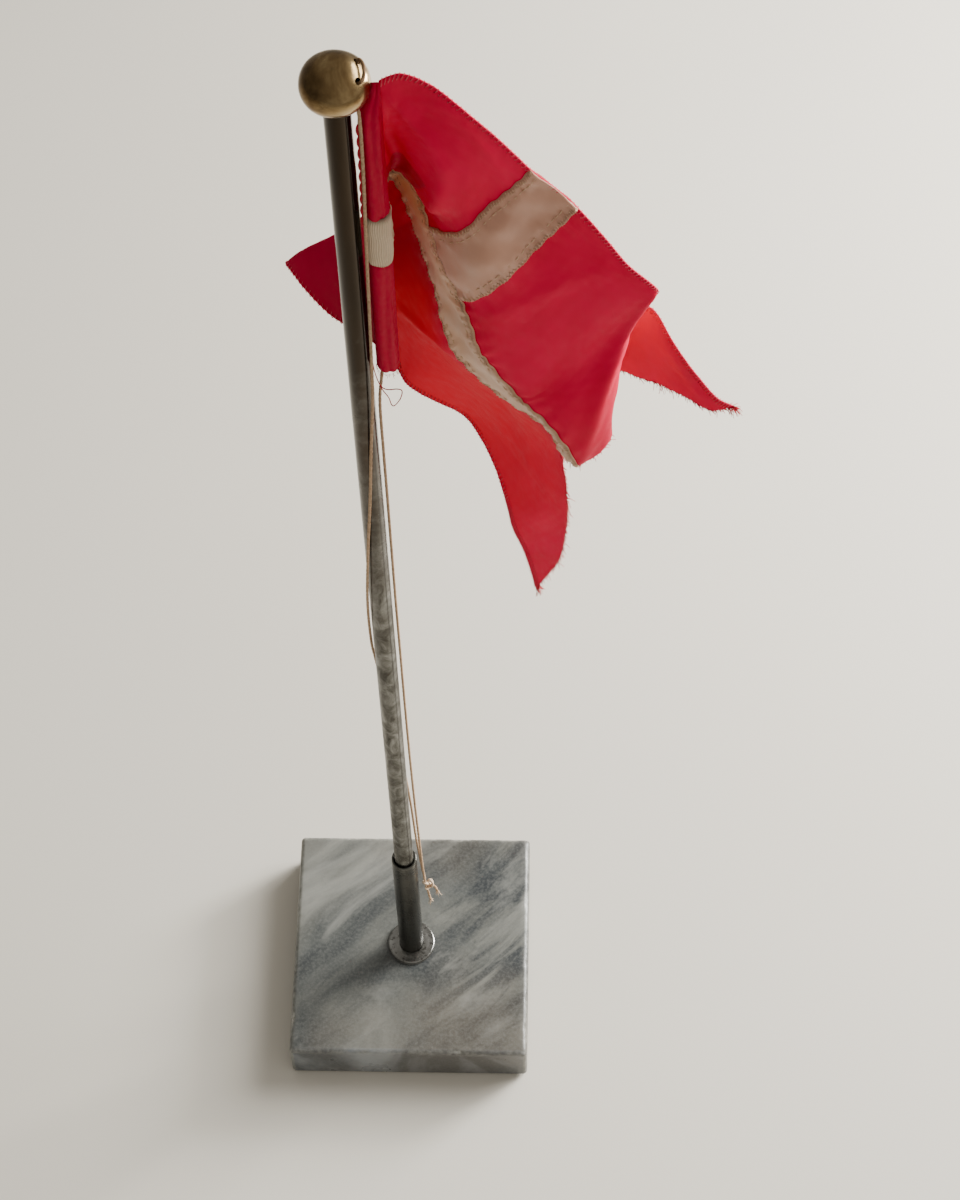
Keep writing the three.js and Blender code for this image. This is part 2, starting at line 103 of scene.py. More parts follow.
class Nodes:
    """A short way to write a material's nodes."""

    def __init__(self, name):
        self.material = bpy.data.materials.new(name)
        self.material.use_nodes = True
        self.tree = self.material.node_tree
        self.tree.nodes.clear()
        self.shader = self.tree.nodes.new("ShaderNodeBsdfPrincipled")
        out = self.tree.nodes.new("ShaderNodeOutputMaterial")
        self.link(self.shader.outputs[0], out.inputs["Surface"])
        self.coords = self.tree.nodes.new("ShaderNodeTexCoord").outputs["Object"]

    def link(self, source, target):
        self.tree.links.new(source, target)

    def set(self, **values):
        for key, value in values.items():
            self.shader.inputs[key.replace("_", " ")].default_value = value

    def node(self, kind, inputs=None, **settings):
        made = self.tree.nodes.new(kind)
        for key, value in settings.items():
            setattr(made, key, value)
        for key, value in (inputs or {}).items():
            if isinstance(value, bpy.types.NodeSocket):
                self.link(value, made.inputs[key])
            else:
                made.inputs[key].default_value = value
        return made

    def scaled(self, scale, source=None):
        mapping = self.node("ShaderNodeMapping", {"Vector": source or self.coords})
        mapping.inputs["Scale"].default_value = scale
        return mapping.outputs[0]

    def noise(self, scale, detail=4, roughness=0.55, source=None, distortion=0.0):
        inputs = {"Vector": source or self.coords, "Scale": scale, "Detail": detail}
        inputs.update(Roughness=roughness, Distortion=distortion)
        return self.node("ShaderNodeTexNoise", inputs).outputs["Fac"]

    def attribute(self, name, output="Fac"):
        return self.node("ShaderNodeAttribute", attribute_name=name).outputs[output]

    def axes(self):
        return self.node("ShaderNodeSeparateXYZ", {"Vector": self.coords}).outputs

    def ramp(self, source, stops):
        """Colours or greys at places from 0 to 1."""
        made = self.node("ShaderNodeValToRGB", {"Fac": source})
        elements = made.color_ramp.elements
        while len(elements) < len(stops):
            elements.new(0.5)
        for element, (place, colour) in zip(elements, stops):
            element.position = place
            element.color = (*(colour if isinstance(colour, tuple) else (colour,) * 3), 1)
        return made.outputs[0]

    def math(self, operation, a, b):
        return self.node("ShaderNodeMath", {0: a, 1: b}, operation=operation).outputs[0]

    def mix(self, factor, a, b):
        made = self.node("ShaderNodeMix", data_type="RGBA")
        for index, value in ((0, factor), (6, a), (7, b)):
            if isinstance(value, bpy.types.NodeSocket):
                self.link(value, made.inputs[index])
            else:
                made.inputs[index].default_value = value if index == 0 else (*value, 1)
        return made.outputs[2]

    def bump(self, height, strength, distance):
        inputs = {"Height": height, "Strength": strength, "Distance": distance}
        self.link(self.node("ShaderNodeBump", inputs).outputs[0], self.shader.inputs["Normal"])

    def colour(self, source):
        self.link(source, self.shader.inputs["Base Color"])

    def rough(self, source):
        self.link(source, self.shader.inputs["Roughness"])


def marble_material():
    """Clouded grey stone with dark streaks and pale ones; bare and gritty where "worn" is set."""
    n = Nodes("marble_veined")
    turned = n.node("ShaderNodeMapping", {"Vector": n.coords})
    turned.inputs["Rotation"].default_value = (0.2, 0.3, math.radians(-40))
    grain = n.scaled((1, 2.1, 1.4), turned.outputs[0])
    cloud = n.noise(16, 6, 0.58, grain, 0.6)
    body = n.ramp(cloud, [
        (0.34, (0.032, 0.036, 0.037)), (0.45, (0.080, 0.084, 0.079)),
        (0.55, (0.130, 0.131, 0.116)), (0.68, (0.215, 0.213, 0.188)),
    ])
    streak = n.noise(24, 5, 0.64, n.scaled((1, 1.8, 1), grain), 0.7)
    axes = n.axes()
    rightward = n.math("ADD", n.math("MULTIPLY", axes["X"], 9.0), 0.60)
    dark = n.math("MULTIPLY", n.ramp(streak, [(0.47, 0.0), (0.60, 1.0)]), rightward)
    body = n.mix(dark, body, (0.030, 0.034, 0.037))
    pale = n.noise(20, 5, 0.62, n.scaled((1, 1.3, 1), grain), 0.7)
    body = n.mix(n.ramp(pale, [(0.54, 0.0), (0.68, 0.6)]), body, (0.27, 0.268, 0.242))
    # Painted light: the front face is bluer and paler than the top.
    front = n.ramp(n.math("MULTIPLY", axes["Y"], -2 / SLAB_SIDE), [(0.955, 0.0), (0.985, 0.9)])
    blue = n.ramp(cloud, [(0.42, (0.05, 0.064, 0.08)), (0.56, (0.29, 0.32, 0.35))])
    body = n.mix(front, body, blue)
    warm = n.ramp(n.noise(13, 3, 0.5), [(0.46, 0.0), (0.62, 0.4)])
    body = n.mix(warm, body, (0.125, 0.10, 0.072))
    crystals = n.ramp(n.noise(950, 3, 0.7), [(0.42, 0.0), (0.75, 0.35)])
    body = n.mix(crystals, body, (0.20, 0.20, 0.185))
    wear_and_shade = n.attribute("wear_and_shade")
    grit = n.noise(700, 3, 0.6)
    bare = n.ramp(grit, [(0.3, (0.16, 0.155, 0.13)), (0.7, (0.42, 0.41, 0.37))])
    n.colour(n.mix(wear_and_shade, body, bare))
    n.rough(n.ramp(n.noise(60, 4), [(0.3, 0.24), (0.7, 0.42)]))
    pits = n.math("ADD", n.noise(420, 4, 0.6), n.math("MULTIPLY", grit, wear_and_shade))
    n.bump(pits, 0.16, 0.0004)
    n.set(Specular_IOR_Level=0.4)
    return n.material


def metal_material(name, stops, rough, grime, scale=(1, 1, 0.35), spots=900):
    """Plated or solid metal with tarnish: colour stops over a noise, and dark spots."""
    n = Nodes(name)
    field = n.noise(70, 6, 0.68, n.scaled(scale), 0.5)
    body = n.ramp(field, stops)
    specks = n.ramp(n.noise(spots, 3, 0.6), [(0.56, 0.0), (0.66, 1.0)])
    n.colour(n.mix(n.math("MULTIPLY", specks, grime), body, (0.03, 0.022, 0.015)))
    n.rough(n.ramp(n.noise(160, 5, 0.6), [(0.3, rough[0]), (0.7, rough[1])]))
    n.bump(n.noise(1300, 3, 0.6), 0.1, 0.00015)
    n.set(Metallic=1.0)
    return n.material


def pole_material():
    """Plating that is dark and smooth at the top and mottled grey, pitted, lower down."""
    n = Nodes("pole_plating")
    axes = n.axes()
    ripple = n.math("MULTIPLY", n.math("SUBTRACT", n.noise(30, 5, 0.7), 0.5), 0.34)
    low_share = n.ramp(n.math("ADD", axes["Z"], ripple), [(0.10, 1.0), (0.24, 0.75), (0.36, 0.0)])
    smooth = n.ramp(
        n.noise(60, 4, 0.6, n.scaled((1, 1, 0.12))),
        [(0.35, (0.010, 0.007, 0.004)), (0.65, (0.045, 0.030, 0.018))],
    )
    blotch = n.noise(260, 7, 0.72, n.scaled((1, 1, 0.55)), 0.7)
    mottled = n.ramp(blotch, [
        (0.34, (0.050, 0.046, 0.036)), (0.47, (0.115, 0.112, 0.098)),
        (0.60, (0.21, 0.208, 0.192)), (0.74, (0.35, 0.345, 0.325)),
    ])
    body = n.mix(low_share, smooth, mottled)
    # The tube's seam, a dark line that wanders a little, near the front on the right.
    seam_angle = 0.86
    angle = n.math("ARCTAN2", axes["Y"], axes["X"])
    wander = n.math("MULTIPLY", n.math("SUBTRACT", n.noise(14, 2), 0.5), 0.25)
    seam = n.math("ADD", n.math("ADD", angle, seam_angle), wander)
    line = n.ramp(n.math("ABSOLUTE", seam, 0), [(0.05, 1.0), (0.10, 0.0)])
    n.colour(n.mix(n.math("MULTIPLY", line, 0.7), body, (0.02, 0.016, 0.012)))
    rough_low = n.ramp(blotch, [(0.35, 0.52), (0.7, 0.30)])
    n.rough(n.mix(low_share, (0.2, 0.2, 0.2), rough_low))
    n.bump(n.math("MULTIPLY", blotch, low_share), 0.35, 0.00018)
    n.set(Metallic=0.96, Specular_IOR_Level=0.25)
    return n.material


def cloth_material(name, light, dark, glow, weave=2600, rough=(0.5, 0.72), gloss=0.22):
    """Satin: a fine weave over the flat pattern, slubs and fading. "shade" paints shade on it, and
    "lit" paints light in the glow colour.
    """
    n = Nodes(name)
    flat = n.attribute("flat", "Vector")
    inputs = {"Vector": flat, "Scale": weave, "Distortion": 0.8, "Detail": 1.0}
    warp, weft = (
        n.node("ShaderNodeTexWave", inputs, bands_direction=way).outputs["Fac"] for way in "XY"
    )
    threads = n.math("MULTIPLY", warp, weft)
    slubs = n.noise(500, 4, 0.6, n.scaled((0.5, 1.3, 1), flat))
    fade = n.noise(38, 4, 0.6, flat)
    body = n.mix(n.ramp(fade, [(0.3, 0.0), (0.7, 1.0)]), dark, light)
    body = n.mix(n.attribute("shade"), body, tuple(c * 0.42 for c in dark))
    body = n.mix(n.math("MULTIPLY", slubs, 0.12), body, tuple(min(1, c * 1.35) for c in light))
    n.colour(n.mix(n.attribute("lit"), body, glow))
    n.rough(n.ramp(slubs, [(0.3, rough[0]), (0.7, rough[1])]))
    n.bump(n.math("ADD", n.math("MULTIPLY", threads, 0.6), slubs), 0.22, 0.00012)
    n.set(Specular_IOR_Level=gloss)
    return n.material


def fibre_material(name, light, dark, scale=1400):
    """Matt thread, felt or plastic, grained between two colours."""
    n = Nodes(name)
    grain = n.noise(scale, 5, 0.65)
    n.colour(n.ramp(grain, [(0.3, dark), (0.7, light)]))
    n.rough(n.ramp(grain, [(0.3, 0.72), (0.7, 0.92)]))
    n.bump(grain, 0.3, 0.0001)
    n.set(Specular_IOR_Level=0.2)
    return n.material


MARBLE = marble_material()
POLE = pole_material()
SOCKET = metal_material(
    "socket_dark_steel",
    [(0.3, (0.055, 0.053, 0.045)), (0.6, (0.115, 0.113, 0.102)), (0.8, (0.21, 0.21, 0.195))],
    (0.24, 0.40), 0.5,
)
CHROME = metal_material(
    "flange_chrome",
    [(0.3, (0.15, 0.145, 0.13)), (0.55, (0.30, 0.295, 0.28)), (0.75, (0.46, 0.46, 0.44))],
    (0.14, 0.28), 0.6, (1, 1, 1),
)
BRASS = metal_material(
    "aged_brass",
    [
        (0.30, (0.075, 0.042, 0.017)), (0.46, (0.20, 0.125, 0.055)),
        (0.60, (0.35, 0.245, 0.12)), (0.8, (0.50, 0.38, 0.21)),
    ],
    (0.16, 0.30), 0.18, (1, 1, 1), 260,
)
STEEL = metal_material(
    "plain_steel", [(0.3, (0.3, 0.3, 0.3)), (0.7, (0.5, 0.5, 0.5))], (0.3, 0.45), 0.3
)
FELT = fibre_material("felt", (0.045, 0.06, 0.05), (0.02, 0.028, 0.024), 2200)
PLASTIC = fibre_material("foot_plastic", (0.03, 0.03, 0.03), (0.012, 0.012, 0.012), 300)
CORD = fibre_material("cord_fibre", (0.62, 0.43, 0.28), (0.30, 0.19, 0.11))
# A darker copy of the cord: painted shade for the bight over the ball.
SHADED_CORD = fibre_material("cord_shaded", (0.26, 0.155, 0.08), (0.10, 0.055, 0.025))
PALE_THREAD = fibre_material("pale_thread", (0.78, 0.62, 0.46), (0.5, 0.36, 0.25))
RIBBON_THREAD = fibre_material("ribbon_thread", (0.85, 0.62, 0.42), (0.55, 0.36, 0.22))
RED_THREAD = fibre_material("red_thread", (0.62, 0.012, 0.035), (0.26, 0.002, 0.010))
PINK_THREAD = fibre_material("pink_thread", (0.90, 0.16, 0.22), (0.62, 0.02, 0.07))
RED = cloth_material(
    "red_satin", (0.86, 0.0, 0.070), (0.70, 0.0, 0.040), (0.94, 0.0, 0.030), gloss=0.1
)
RIBBON = cloth_material(
    "ribbon_satin", (0.64, 0.33, 0.225), (0.43, 0.20, 0.132), (1.0, 0.72, 0.44), 2200,
    (0.32, 0.46), 0.5,
)
BAND = cloth_material(
    "sleeve_band_satin", (0.80, 0.64, 0.48), (0.62, 0.48, 0.34), (0.9, 0.72, 0.5), 2200
)

# ---- Mesh helpers --------------------------------------------------------------------------


def placed(made, slot, body, *nodes):
    """Hides the CAD nodes a piece takes the place of and puts it on the body it rides on. The slot
    is not used.
    """
    if nodes:
        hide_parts(*nodes)
    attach(made, body)
    return made


def smooth_shading(mesh):
    mesh.polygons.foreach_set("use_smooth", [True] * len(mesh.polygons))


def point_values(made, name, values):
    """A number at each vertex, which the material reads by its name."""
    field = made.data.attributes.new(name, "FLOAT", "POINT")
    field.data.foreach_set("value", values)


def jitter(reach):
    return Vector([random.uniform(-reach, reach) for _ in range(3)])


def new_object(name, vertices, faces, material, smooth=True):
    mesh = bpy.data.meshes.new(name)
    mesh.from_pydata([tuple(v) for v in vertices], [], [tuple(f) for f in faces])
    mesh.validate()
    mesh.update()
    mesh.materials.append(material)
    if smooth:
        smooth_shading(mesh)
    made = bpy.data.objects.new(name, mesh)
    bpy.context.scene.collection.objects.link(made)
    return made


def apply_modifiers(thing):
    graph = bpy.context.evaluated_depsgraph_get()
    mesh = bpy.data.meshes.new_from_object(thing.evaluated_get(graph))
    thing.modifiers.clear()
    thing.data = mesh


def lathe(profile, segments):
    """Vertices and faces of a closed profile of (radius, z) turned about an upright axis."""
    vertices = []
    count = len(profile)
    for i in range(segments):
        a = 2 * math.pi * i / segments
        for radius, z in profile:
            vertices.append((radius * math.cos(a), radius * math.sin(a), z))
    faces = []
    for i in range(segments):
        j = (i + 1) % segments
        for k in range(count):
            m = (k + 1) % count
            faces.append((i * count + k, j * count + k, j * count + m, i * count + m))
    return vertices, faces


def merge_close(thing, distance):
    made = bmesh.new()
    made.from_mesh(thing.data)
    bmesh.ops.remove_doubles(made, verts=made.verts, dist=distance)
    bmesh.ops.recalc_face_normals(made, faces=made.faces)
    made.to_mesh(thing.data)
    made.free()
    thing.data.update()


def arc(centre_r, centre_z, radius, start, end, steps):
    points = []
    for i in range(steps + 1):
        a = math.radians(start + (end - start) * i / steps)
        points.append((centre_r + radius * math.cos(a), centre_z + radius * math.sin(a)))
    return points


def frames_along(points):
    """A smooth pair of side directions at each point of a path."""
    points = [Vector(p) for p in points]
    tangents = []
    for i in range(len(points)):
        before, after = points[max(i - 1, 0)], points[min(i + 1, len(points) - 1)]
        tangents.append((after - before).normalized())
    side = tangents[0].orthogonal().normalized()
    pairs = []
    for tangent in tangents:
        side = (side - tangent * side.dot(tangent)).normalized()
        pairs.append((side.copy(), tangent.cross(side).normalized()))
    return pairs


def ring_faces(spans, around):
    """Faces between rings of vertices, one ring after another."""
    faces = []
    for i in range(spans):
        for j in range(around):
            a, b = i * around + j, i * around + (j + 1) % around
            faces.append((a, b, b + around, a + around))
    return faces


def tube_mesh(points, radius_at, sides, shape_at=None):
    """A capped tube along points. radius_at(i) gives its radius; shape_at(i, angle) a factor."""
    vertices = []
    for i, (point, (side, other)) in enumerate(zip(points, frames_along(points))):
        for j in range(sides):
            a = 2 * math.pi * j / sides
            r = radius_at(i) * (shape_at(i, a) if shape_at else 1)
            vertices.append(Vector(point) + side * (r * math.cos(a)) + other * (r * math.sin(a)))
    faces = ring_faces(len(points) - 1, sides)
    faces.append(tuple(reversed(range(sides))))
    last = (len(points) - 1) * sides
    faces.append(tuple(range(last, last + sides)))
    return vertices, faces


def even_tube(points, radius, sides=5):
    """A tube of one radius, in millimetres."""
    return tube_mesh(points, lambda i: radius * MM, sides)


def joined(parts):
    vertices, faces = [], []
    for more_vertices, more_faces in parts:
        start = len(vertices)
        vertices.extend(more_vertices)
        faces.extend(tuple(start + i for i in face) for face in more_faces)
    return vertices, faces


def smooth_path(points, per_span):
    """Catmull-Rom points through a list: close to the CAD's curve, which is another kind."""
    points = [Vector(p) for p in points]
    ends = [points[0] * 2 - points[1]] + points + [points[-1] * 2 - points[-2]]
    path = []
    for i in range(1, len(ends) - 2):
        a, b, c, d = ends[i - 1], ends[i], ends[i + 1], ends[i + 2]
        for k in range(per_span):
            t = k / per_span
            path.append(
                0.5
                * (
                    2 * b
                    + (c - a) * t
                    + (2 * a - 5 * b + 4 * c - d) * t * t
                    + (3 * b - a - 3 * c + d) * t * t * t
                )
            )
    path.append(points[-1])
    return path


# ---- Halyard -------------------------------------------------------------------------------

CORD_D = 0.8 * MM
OUTER_STRAND = [
    (4.4, -2.8, 454.6), (4.9, -3.1, 451), (4.8, -3.1, 434), (4.3, -3.0, 414), (3.7, -2.9, 388),
    (3.2, -3.0, 365), (2.7, -3.3, 349), (1.3, -3.8, 328), (0, -3.9, 306), (-1.8, -3.5, 281),
    (-3.4, -2.0, 253), (-3.8, 0.6, 228), (-3.3, 2.3, 214), (-1.2, 3.8, 184), (1.4, 3.9, 150),
    (3.1, 3.2, 123), (3.9, 3.4, 98), (4.5, 3.4, 86), (5.3, 2.2, 76), (6.1, 0.7, 70.6),
]
INNER_STRAND = [
    (5.9, 0.3, 455.2), (6.5, 0.2, 451), (6.9, 0, 436), (6.8, 0, 410), (6.6, 0, 385),
    (6.0, 0, 364), (5.0, -0.3, 355), (4.1, -0.4, 344), (4.0, -0.2, 323), (4.0, 0, 300),
    (4.0, 0, 276), (4.0, 0, 250), (4.1, 0, 223), (4.2, 0, 194), (4.4, 0, 162),
    (4.8, -0.1, 129), (5.2, -0.2, 108), (5.5, -0.3, 94), (5.8, -0.5, 82), (6.2, -0.6, 70.6),
]
BIGHT = [
    (4.2, 1.8, 461.6), (5.1, 2.2, 463.2), (5.9, 1.3, 463.4), (6.3, -0.4, 463.1),
    (6.2, -2.2, 462.5), (5.6, -3.1, 462.2), (4.7, -2.4, 460.8),
]
LONG_TAIL = [(6.7, -0.2, 66.3), (7.0, -0.4, 63), (7.3, -0.6, 60), (7.7, -0.7, 57)]
SHORT_TAIL = [(8.0, -0.2, 67.6), (8.9, -0.3, 67), (9.7, -0.5, 65.4), (10.1, -0.7, 63.4)]
KNOT_CENTRE = Vector((7.1, -0.1, 67.6)) * MM


def in_metres(points):
    return [Vector(p) * MM for p in points]


def plied(path, diameter, turn=2.4 * MM, sides=12):
    """A two-ply twisted cord along a path."""
    along = [0.0]
    for a, b in zip(path, path[1:]):
        along.append(along[-1] + (b - a).length)

    def shape(i, angle):
        phase = angle * 2 + along[i] / turn * 2 * math.pi
        return 0.9 + 0.1 * math.cos(phase)

    return tube_mesh(path, lambda i: diameter / 2 * 1.06, sides, shape)


def even_path(points, step):
    fine = smooth_path(points, 24)
    path, carried = [fine[0]], 0.0
    for a, b in zip(fine, fine[1:]):
        carried += (b - a).length
        if carried >= step:
            path.append(b)
            carried = 0.0
    if (path[-1] - fine[-1]).length > step / 4:
        path.append(fine[-1])
    return path


def make_strand(name, points, step=0.5 * MM):
    """A cord along CAD points; the bight over the ball is darker, a painted shade."""
    path = even_path(in_metres(points), step)
    # Painted shade: the bight over the ball takes the darker copy of the cord.
    wear_and_shade = SHADED_CORD if name == "halyard_bight" else CORD
    made = new_object(name + "_cord", *plied(path, CORD_D), wear_and_shade)
    return placed(made, "cord", "pole", name), path


def make_knot():
    """An overhand knot: a small trefoil of the doubled cord."""
    parts = []
    size, steps = 1.25 * MM, 72
    for offset in (-0.2 * MM, 0.2 * MM):
        loop = []
        for i in range(steps + 1):
            t = 2 * math.pi * i / steps
            x = math.sin(t) + 2 * math.sin(2 * t)
            z = math.cos(t) - 2 * math.cos(2 * t)
            place = (x * size * 0.46, -math.sin(3 * t) * size * 0.5 + offset, z * size * 0.78)
            loop.append(KNOT_CENTRE + Vector(place))
        parts.append(plied(loop, CORD_D * 0.8, 1.8 * MM, 10))
    made = new_object("halyard_knot_tied", *joined(parts), PALE_THREAD)
    return placed(made, "cord", "pole", "halyard_knot")


def make_frays(name, points):
    """The loose fibres at a cut end of the cord."""
    count = 30
    end = Vector(points[-1]) * MM
    run = (end - Vector(points[-2]) * MM).normalized()
    parts = []
    for _ in range(count):
        spread = jitter(1) * 0.55
        reach = random.uniform(1.0, 2.6) * MM
        way = (run + spread).normalized()
        bend = jitter(1) * 0.3 * MM
        start = end - run * 0.3 * MM
        path = [start, start + way * reach * 0.5 + bend * 0.4, start + way * reach + bend]
        parts.append(tube_mesh(path, lambda i: 0.11 * MM * (1 - 0.3 * i), 4))
    return placed(new_object(name, *joined(parts), PALE_THREAD), "cord", "pole")


outer_strand, outer_path = make_strand("halyard_outer_strand", OUTER_STRAND)
inner_strand, inner_path = make_strand("halyard_inner_strand", INNER_STRAND)
bight, _ = make_strand("halyard_bight", BIGHT, 0.25 * MM)
long_tail, _ = make_strand("halyard_long_tail", LONG_TAIL, 0.3 * MM)
short_tail, _ = make_strand("halyard_short_tail", SHORT_TAIL, 0.3 * MM)
knot = make_knot()
long_frays = make_frays("halyard_long_frays", LONG_TAIL)
short_frays = make_frays("halyard_short_frays", SHORT_TAIL)

# ---- Slab, pad and hidden fixings ----------------------------------------------------------


def hash_noise(x, y, z, scale, seed=0):
    """Smooth, repeatable noise from -1 to 1."""
    return noise.noise(Vector((x * scale + seed * 7.3, y * scale - seed * 3.1, z * scale)))


def make_slab():
    """A sawn and polished slab: soft arrises, chipped here and there."""
    half = SLAB_SIDE / 2
    top_arris, bottom_arris, corner = 1.7 * MM, 0.6 * MM, 1.3 * MM
    per_side, side_levels, arris_levels, rings = 150, 14, 8, 26
    levels, insets = [], []
    for a in (0, 0.5, 1.05, math.pi / 2):
        levels.append(slab_low[2] + bottom_arris * (1 - math.cos(a)))
        insets.append(bottom_arris * (1 - math.sin(a)))
    low, high = slab_low[2] + bottom_arris, SLAB_TOP - top_arris
    for k in range(1, side_levels):
        levels.append(low + (high - low) * k / side_levels)
        insets.append(0.0)
    for k in range(arris_levels + 1):
        a = math.pi / 2 * k / arris_levels
        levels.append(SLAB_TOP - top_arris * (1 - math.sin(a)))
        insets.append(top_arris * (1 - math.cos(a)))
    outline = []
    for side in range(4):
        for k in range(per_side):
            t = -1 + 2 * k / per_side
            outline.append([(1, t), (-t, 1), (-1, -t), (t, -1)][side])
    vertices = []

    def rounded(x, y, reach):
        """A point of a square outline, pulled in to round its corner."""
        px, py = x * reach, y * reach
        core = reach - corner
        dx, dy = max(abs(px) - core, 0), max(abs(py) - core, 0)
        if dx > 0 and dy > 0:
            scale = corner / math.hypot(dx, dy)
            if scale < 1:
                px = math.copysign(core + dx * scale, px)
                py = math.copysign(core + dy * scale, py)
        return px, py

    count = len(outline)
    for z, inset in zip(levels, insets):
        for x, y in outline:
            vertices.append(Vector((*rounded(x, y, half - inset), z)))
    for ring in range(1, rings):
        reach = (half - top_arris) * (1 - ring / rings)
        for x, y in outline:
            px, py = rounded(x, y, reach) if reach > corner * 1.5 else (x * reach, y * reach)
            vertices.append(Vector((px, py, SLAB_TOP)))
    spans = len(levels) + rings - 2
    faces = ring_faces(spans, count)
    last, top_centre = spans * count, len(vertices)
    faces += [(last + i, last + (i + 1) % count, top_centre) for i in range(count)]
    faces += [((i + 1) % count, i, top_centre + 1) for i in range(count)]
    vertices += [Vector((0, 0, SLAB_TOP)), Vector((0, 0, slab_low[2]))]
    # Chips: near the top arris and the upright corners, deeper where two noises are high.
    deepest = 1.1 * MM
    wear_and_shade = []
    for v in vertices:
        edge_z = max(0, 1 - abs(SLAB_TOP - 0.5 * top_arris - v.z) / (1.25 * MM))
        out = max(abs(v.x), abs(v.y))
        edge_out = max(0, 1 - abs(half - 0.5 * top_arris - out) / (1.3 * MM))
        upright = min(abs(v.x), abs(v.y)) - (half - 1.6 * MM)
        arris = edge_z * edge_out
        if upright > 0:
            arris = max(arris, min(1, upright / (1.0 * MM)) * 0.7)
        rough = hash_noise(v.x, v.y, v.z, 420, 1) + 0.5 * hash_noise(v.x, v.y, v.z, 1100, 2)
        big = max(0, hash_noise(v.x, v.y, v.z, 130, 3) - 0.28) * 2.6
        bite = arris * (0.10 + 0.22 * rough + 0.9 * big) * MM
        if bite > 0 and out > 0:
            inward = Vector((-v.x / half, -v.y / half, -0.8)).normalized()
            v += inward * min(bite, deepest)
        wear_and_shade.append(min(1.0, arris * (0.65 + 0.6 * rough + big)))
        if v.z > SLAB_TOP - 0.2 * MM:
            v.z += 0.02 * MM * hash_noise(v.x, v.y, v.z, 60, 4)
    slab = new_object("marble_slab_worn", vertices, faces, MARBLE)
    point_values(slab, "wear_and_shade", [max(0.0, w) for w in wear_and_shade])
    placed(slab, "marble", "base", "marble_slab")


make_slab()
for node, material in (
    ("felt_pad", FELT), ("stud_washer", STEEL), ("stud_nut", STEEL), ("socket_stud", STEEL),
    ("pole_foot_plug", PLASTIC),
):
    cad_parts[node].data.materials.clear()
    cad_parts[node].data.materials.append(material)

# ---- Socket, flange and pole ---------------------------------------------------------------


def turned_piece(name, node, profile, material, slot, body, segments=128):
    made = new_object(name, *lathe(profile, segments), material)
    merge_close(made, 0.002 * MM)
    smooth_shading(made.data)
    made.data.set_sharp_from_angle(angle=math.radians(38))
    return placed(made, slot, body, node)


def make_socket():
    bore, stud_hole, floor = POLE_R + 0.3 * MM, 0.6 * MM, 5 * MM
    lip = 0.33 * MM
    top, low = socket_high[2], socket_low[2]
    profile = [(stud_hole, low), (SOCKET_R, low)]
    profile += [(SOCKET_R, low + (top - low) * k / 30) for k in range(1, 30)]
    profile += arc(SOCKET_R - lip, top - lip, lip, 0, 90, 8)
    profile += arc(bore + lip, top - lip, lip, 90, 180, 8)
    profile += [(bore, low + floor), (stud_hole, low + floor)]
    turned_piece("socket_tube_turned", "socket_tube", profile, SOCKET, "socket_steel", "base")


def make_flange():
    low, top = flange_low[2], flange_high[2]
    inner = SOCKET_R + 0.1 * MM
    rim = 0.62 * MM
    profile = [(inner, low), (FLANGE_R - 0.05 * MM, low)]
    profile += arc(FLANGE_R - rim, low + rim, rim, -50, 90, 12)
    profile += [
        (FLANGE_R - 1.5 * MM, top - 0.22 * MM), (FLANGE_R - 2.2 * MM, top - 0.1 * MM),
        (SOCKET_R + 0.9 * MM, top - 0.05 * MM), (SOCKET_R + 0.3 * MM, top), (inner, top),
    ]
    turned_piece("socket_flange_turned", "socket_flange", profile, CHROME, "flange_chrome", "base")


def make_pole():
    bore = POLE_R - 0.7 * MM
    low, top = pole_low[2], pole_high[2]
    edge = 0.15 * MM
    rings = 140
    profile = [(bore, low), (POLE_R - edge, low)]
    for k in range(rings + 1):
        profile.append((POLE_R, low + edge + (top - low - 2 * edge) * k / rings))
    profile += [(POLE_R - edge, top), (bore, top)]
    pole = turned_piece("pole_tube_turned", "pole_tube", profile, POLE, "pole_plating", "pole", 72)
    for v in pole.data.vertices:
        out = Vector((v.co.x, v.co.y, 0))
        if out.length > POLE_R - 0.01 * MM:
            low_share = max(0, min(1, (0.30 - v.co.z) / 0.2))
            dent = hash_noise(v.co.x, v.co.y, v.co.z * 0.35, 900, 5) * 0.02 * MM * low_share
            v.co += out.normalized() * dent


make_socket()
make_flange()
make_pole()

# ---- Ball finial ---------------------------------------------------------------------------


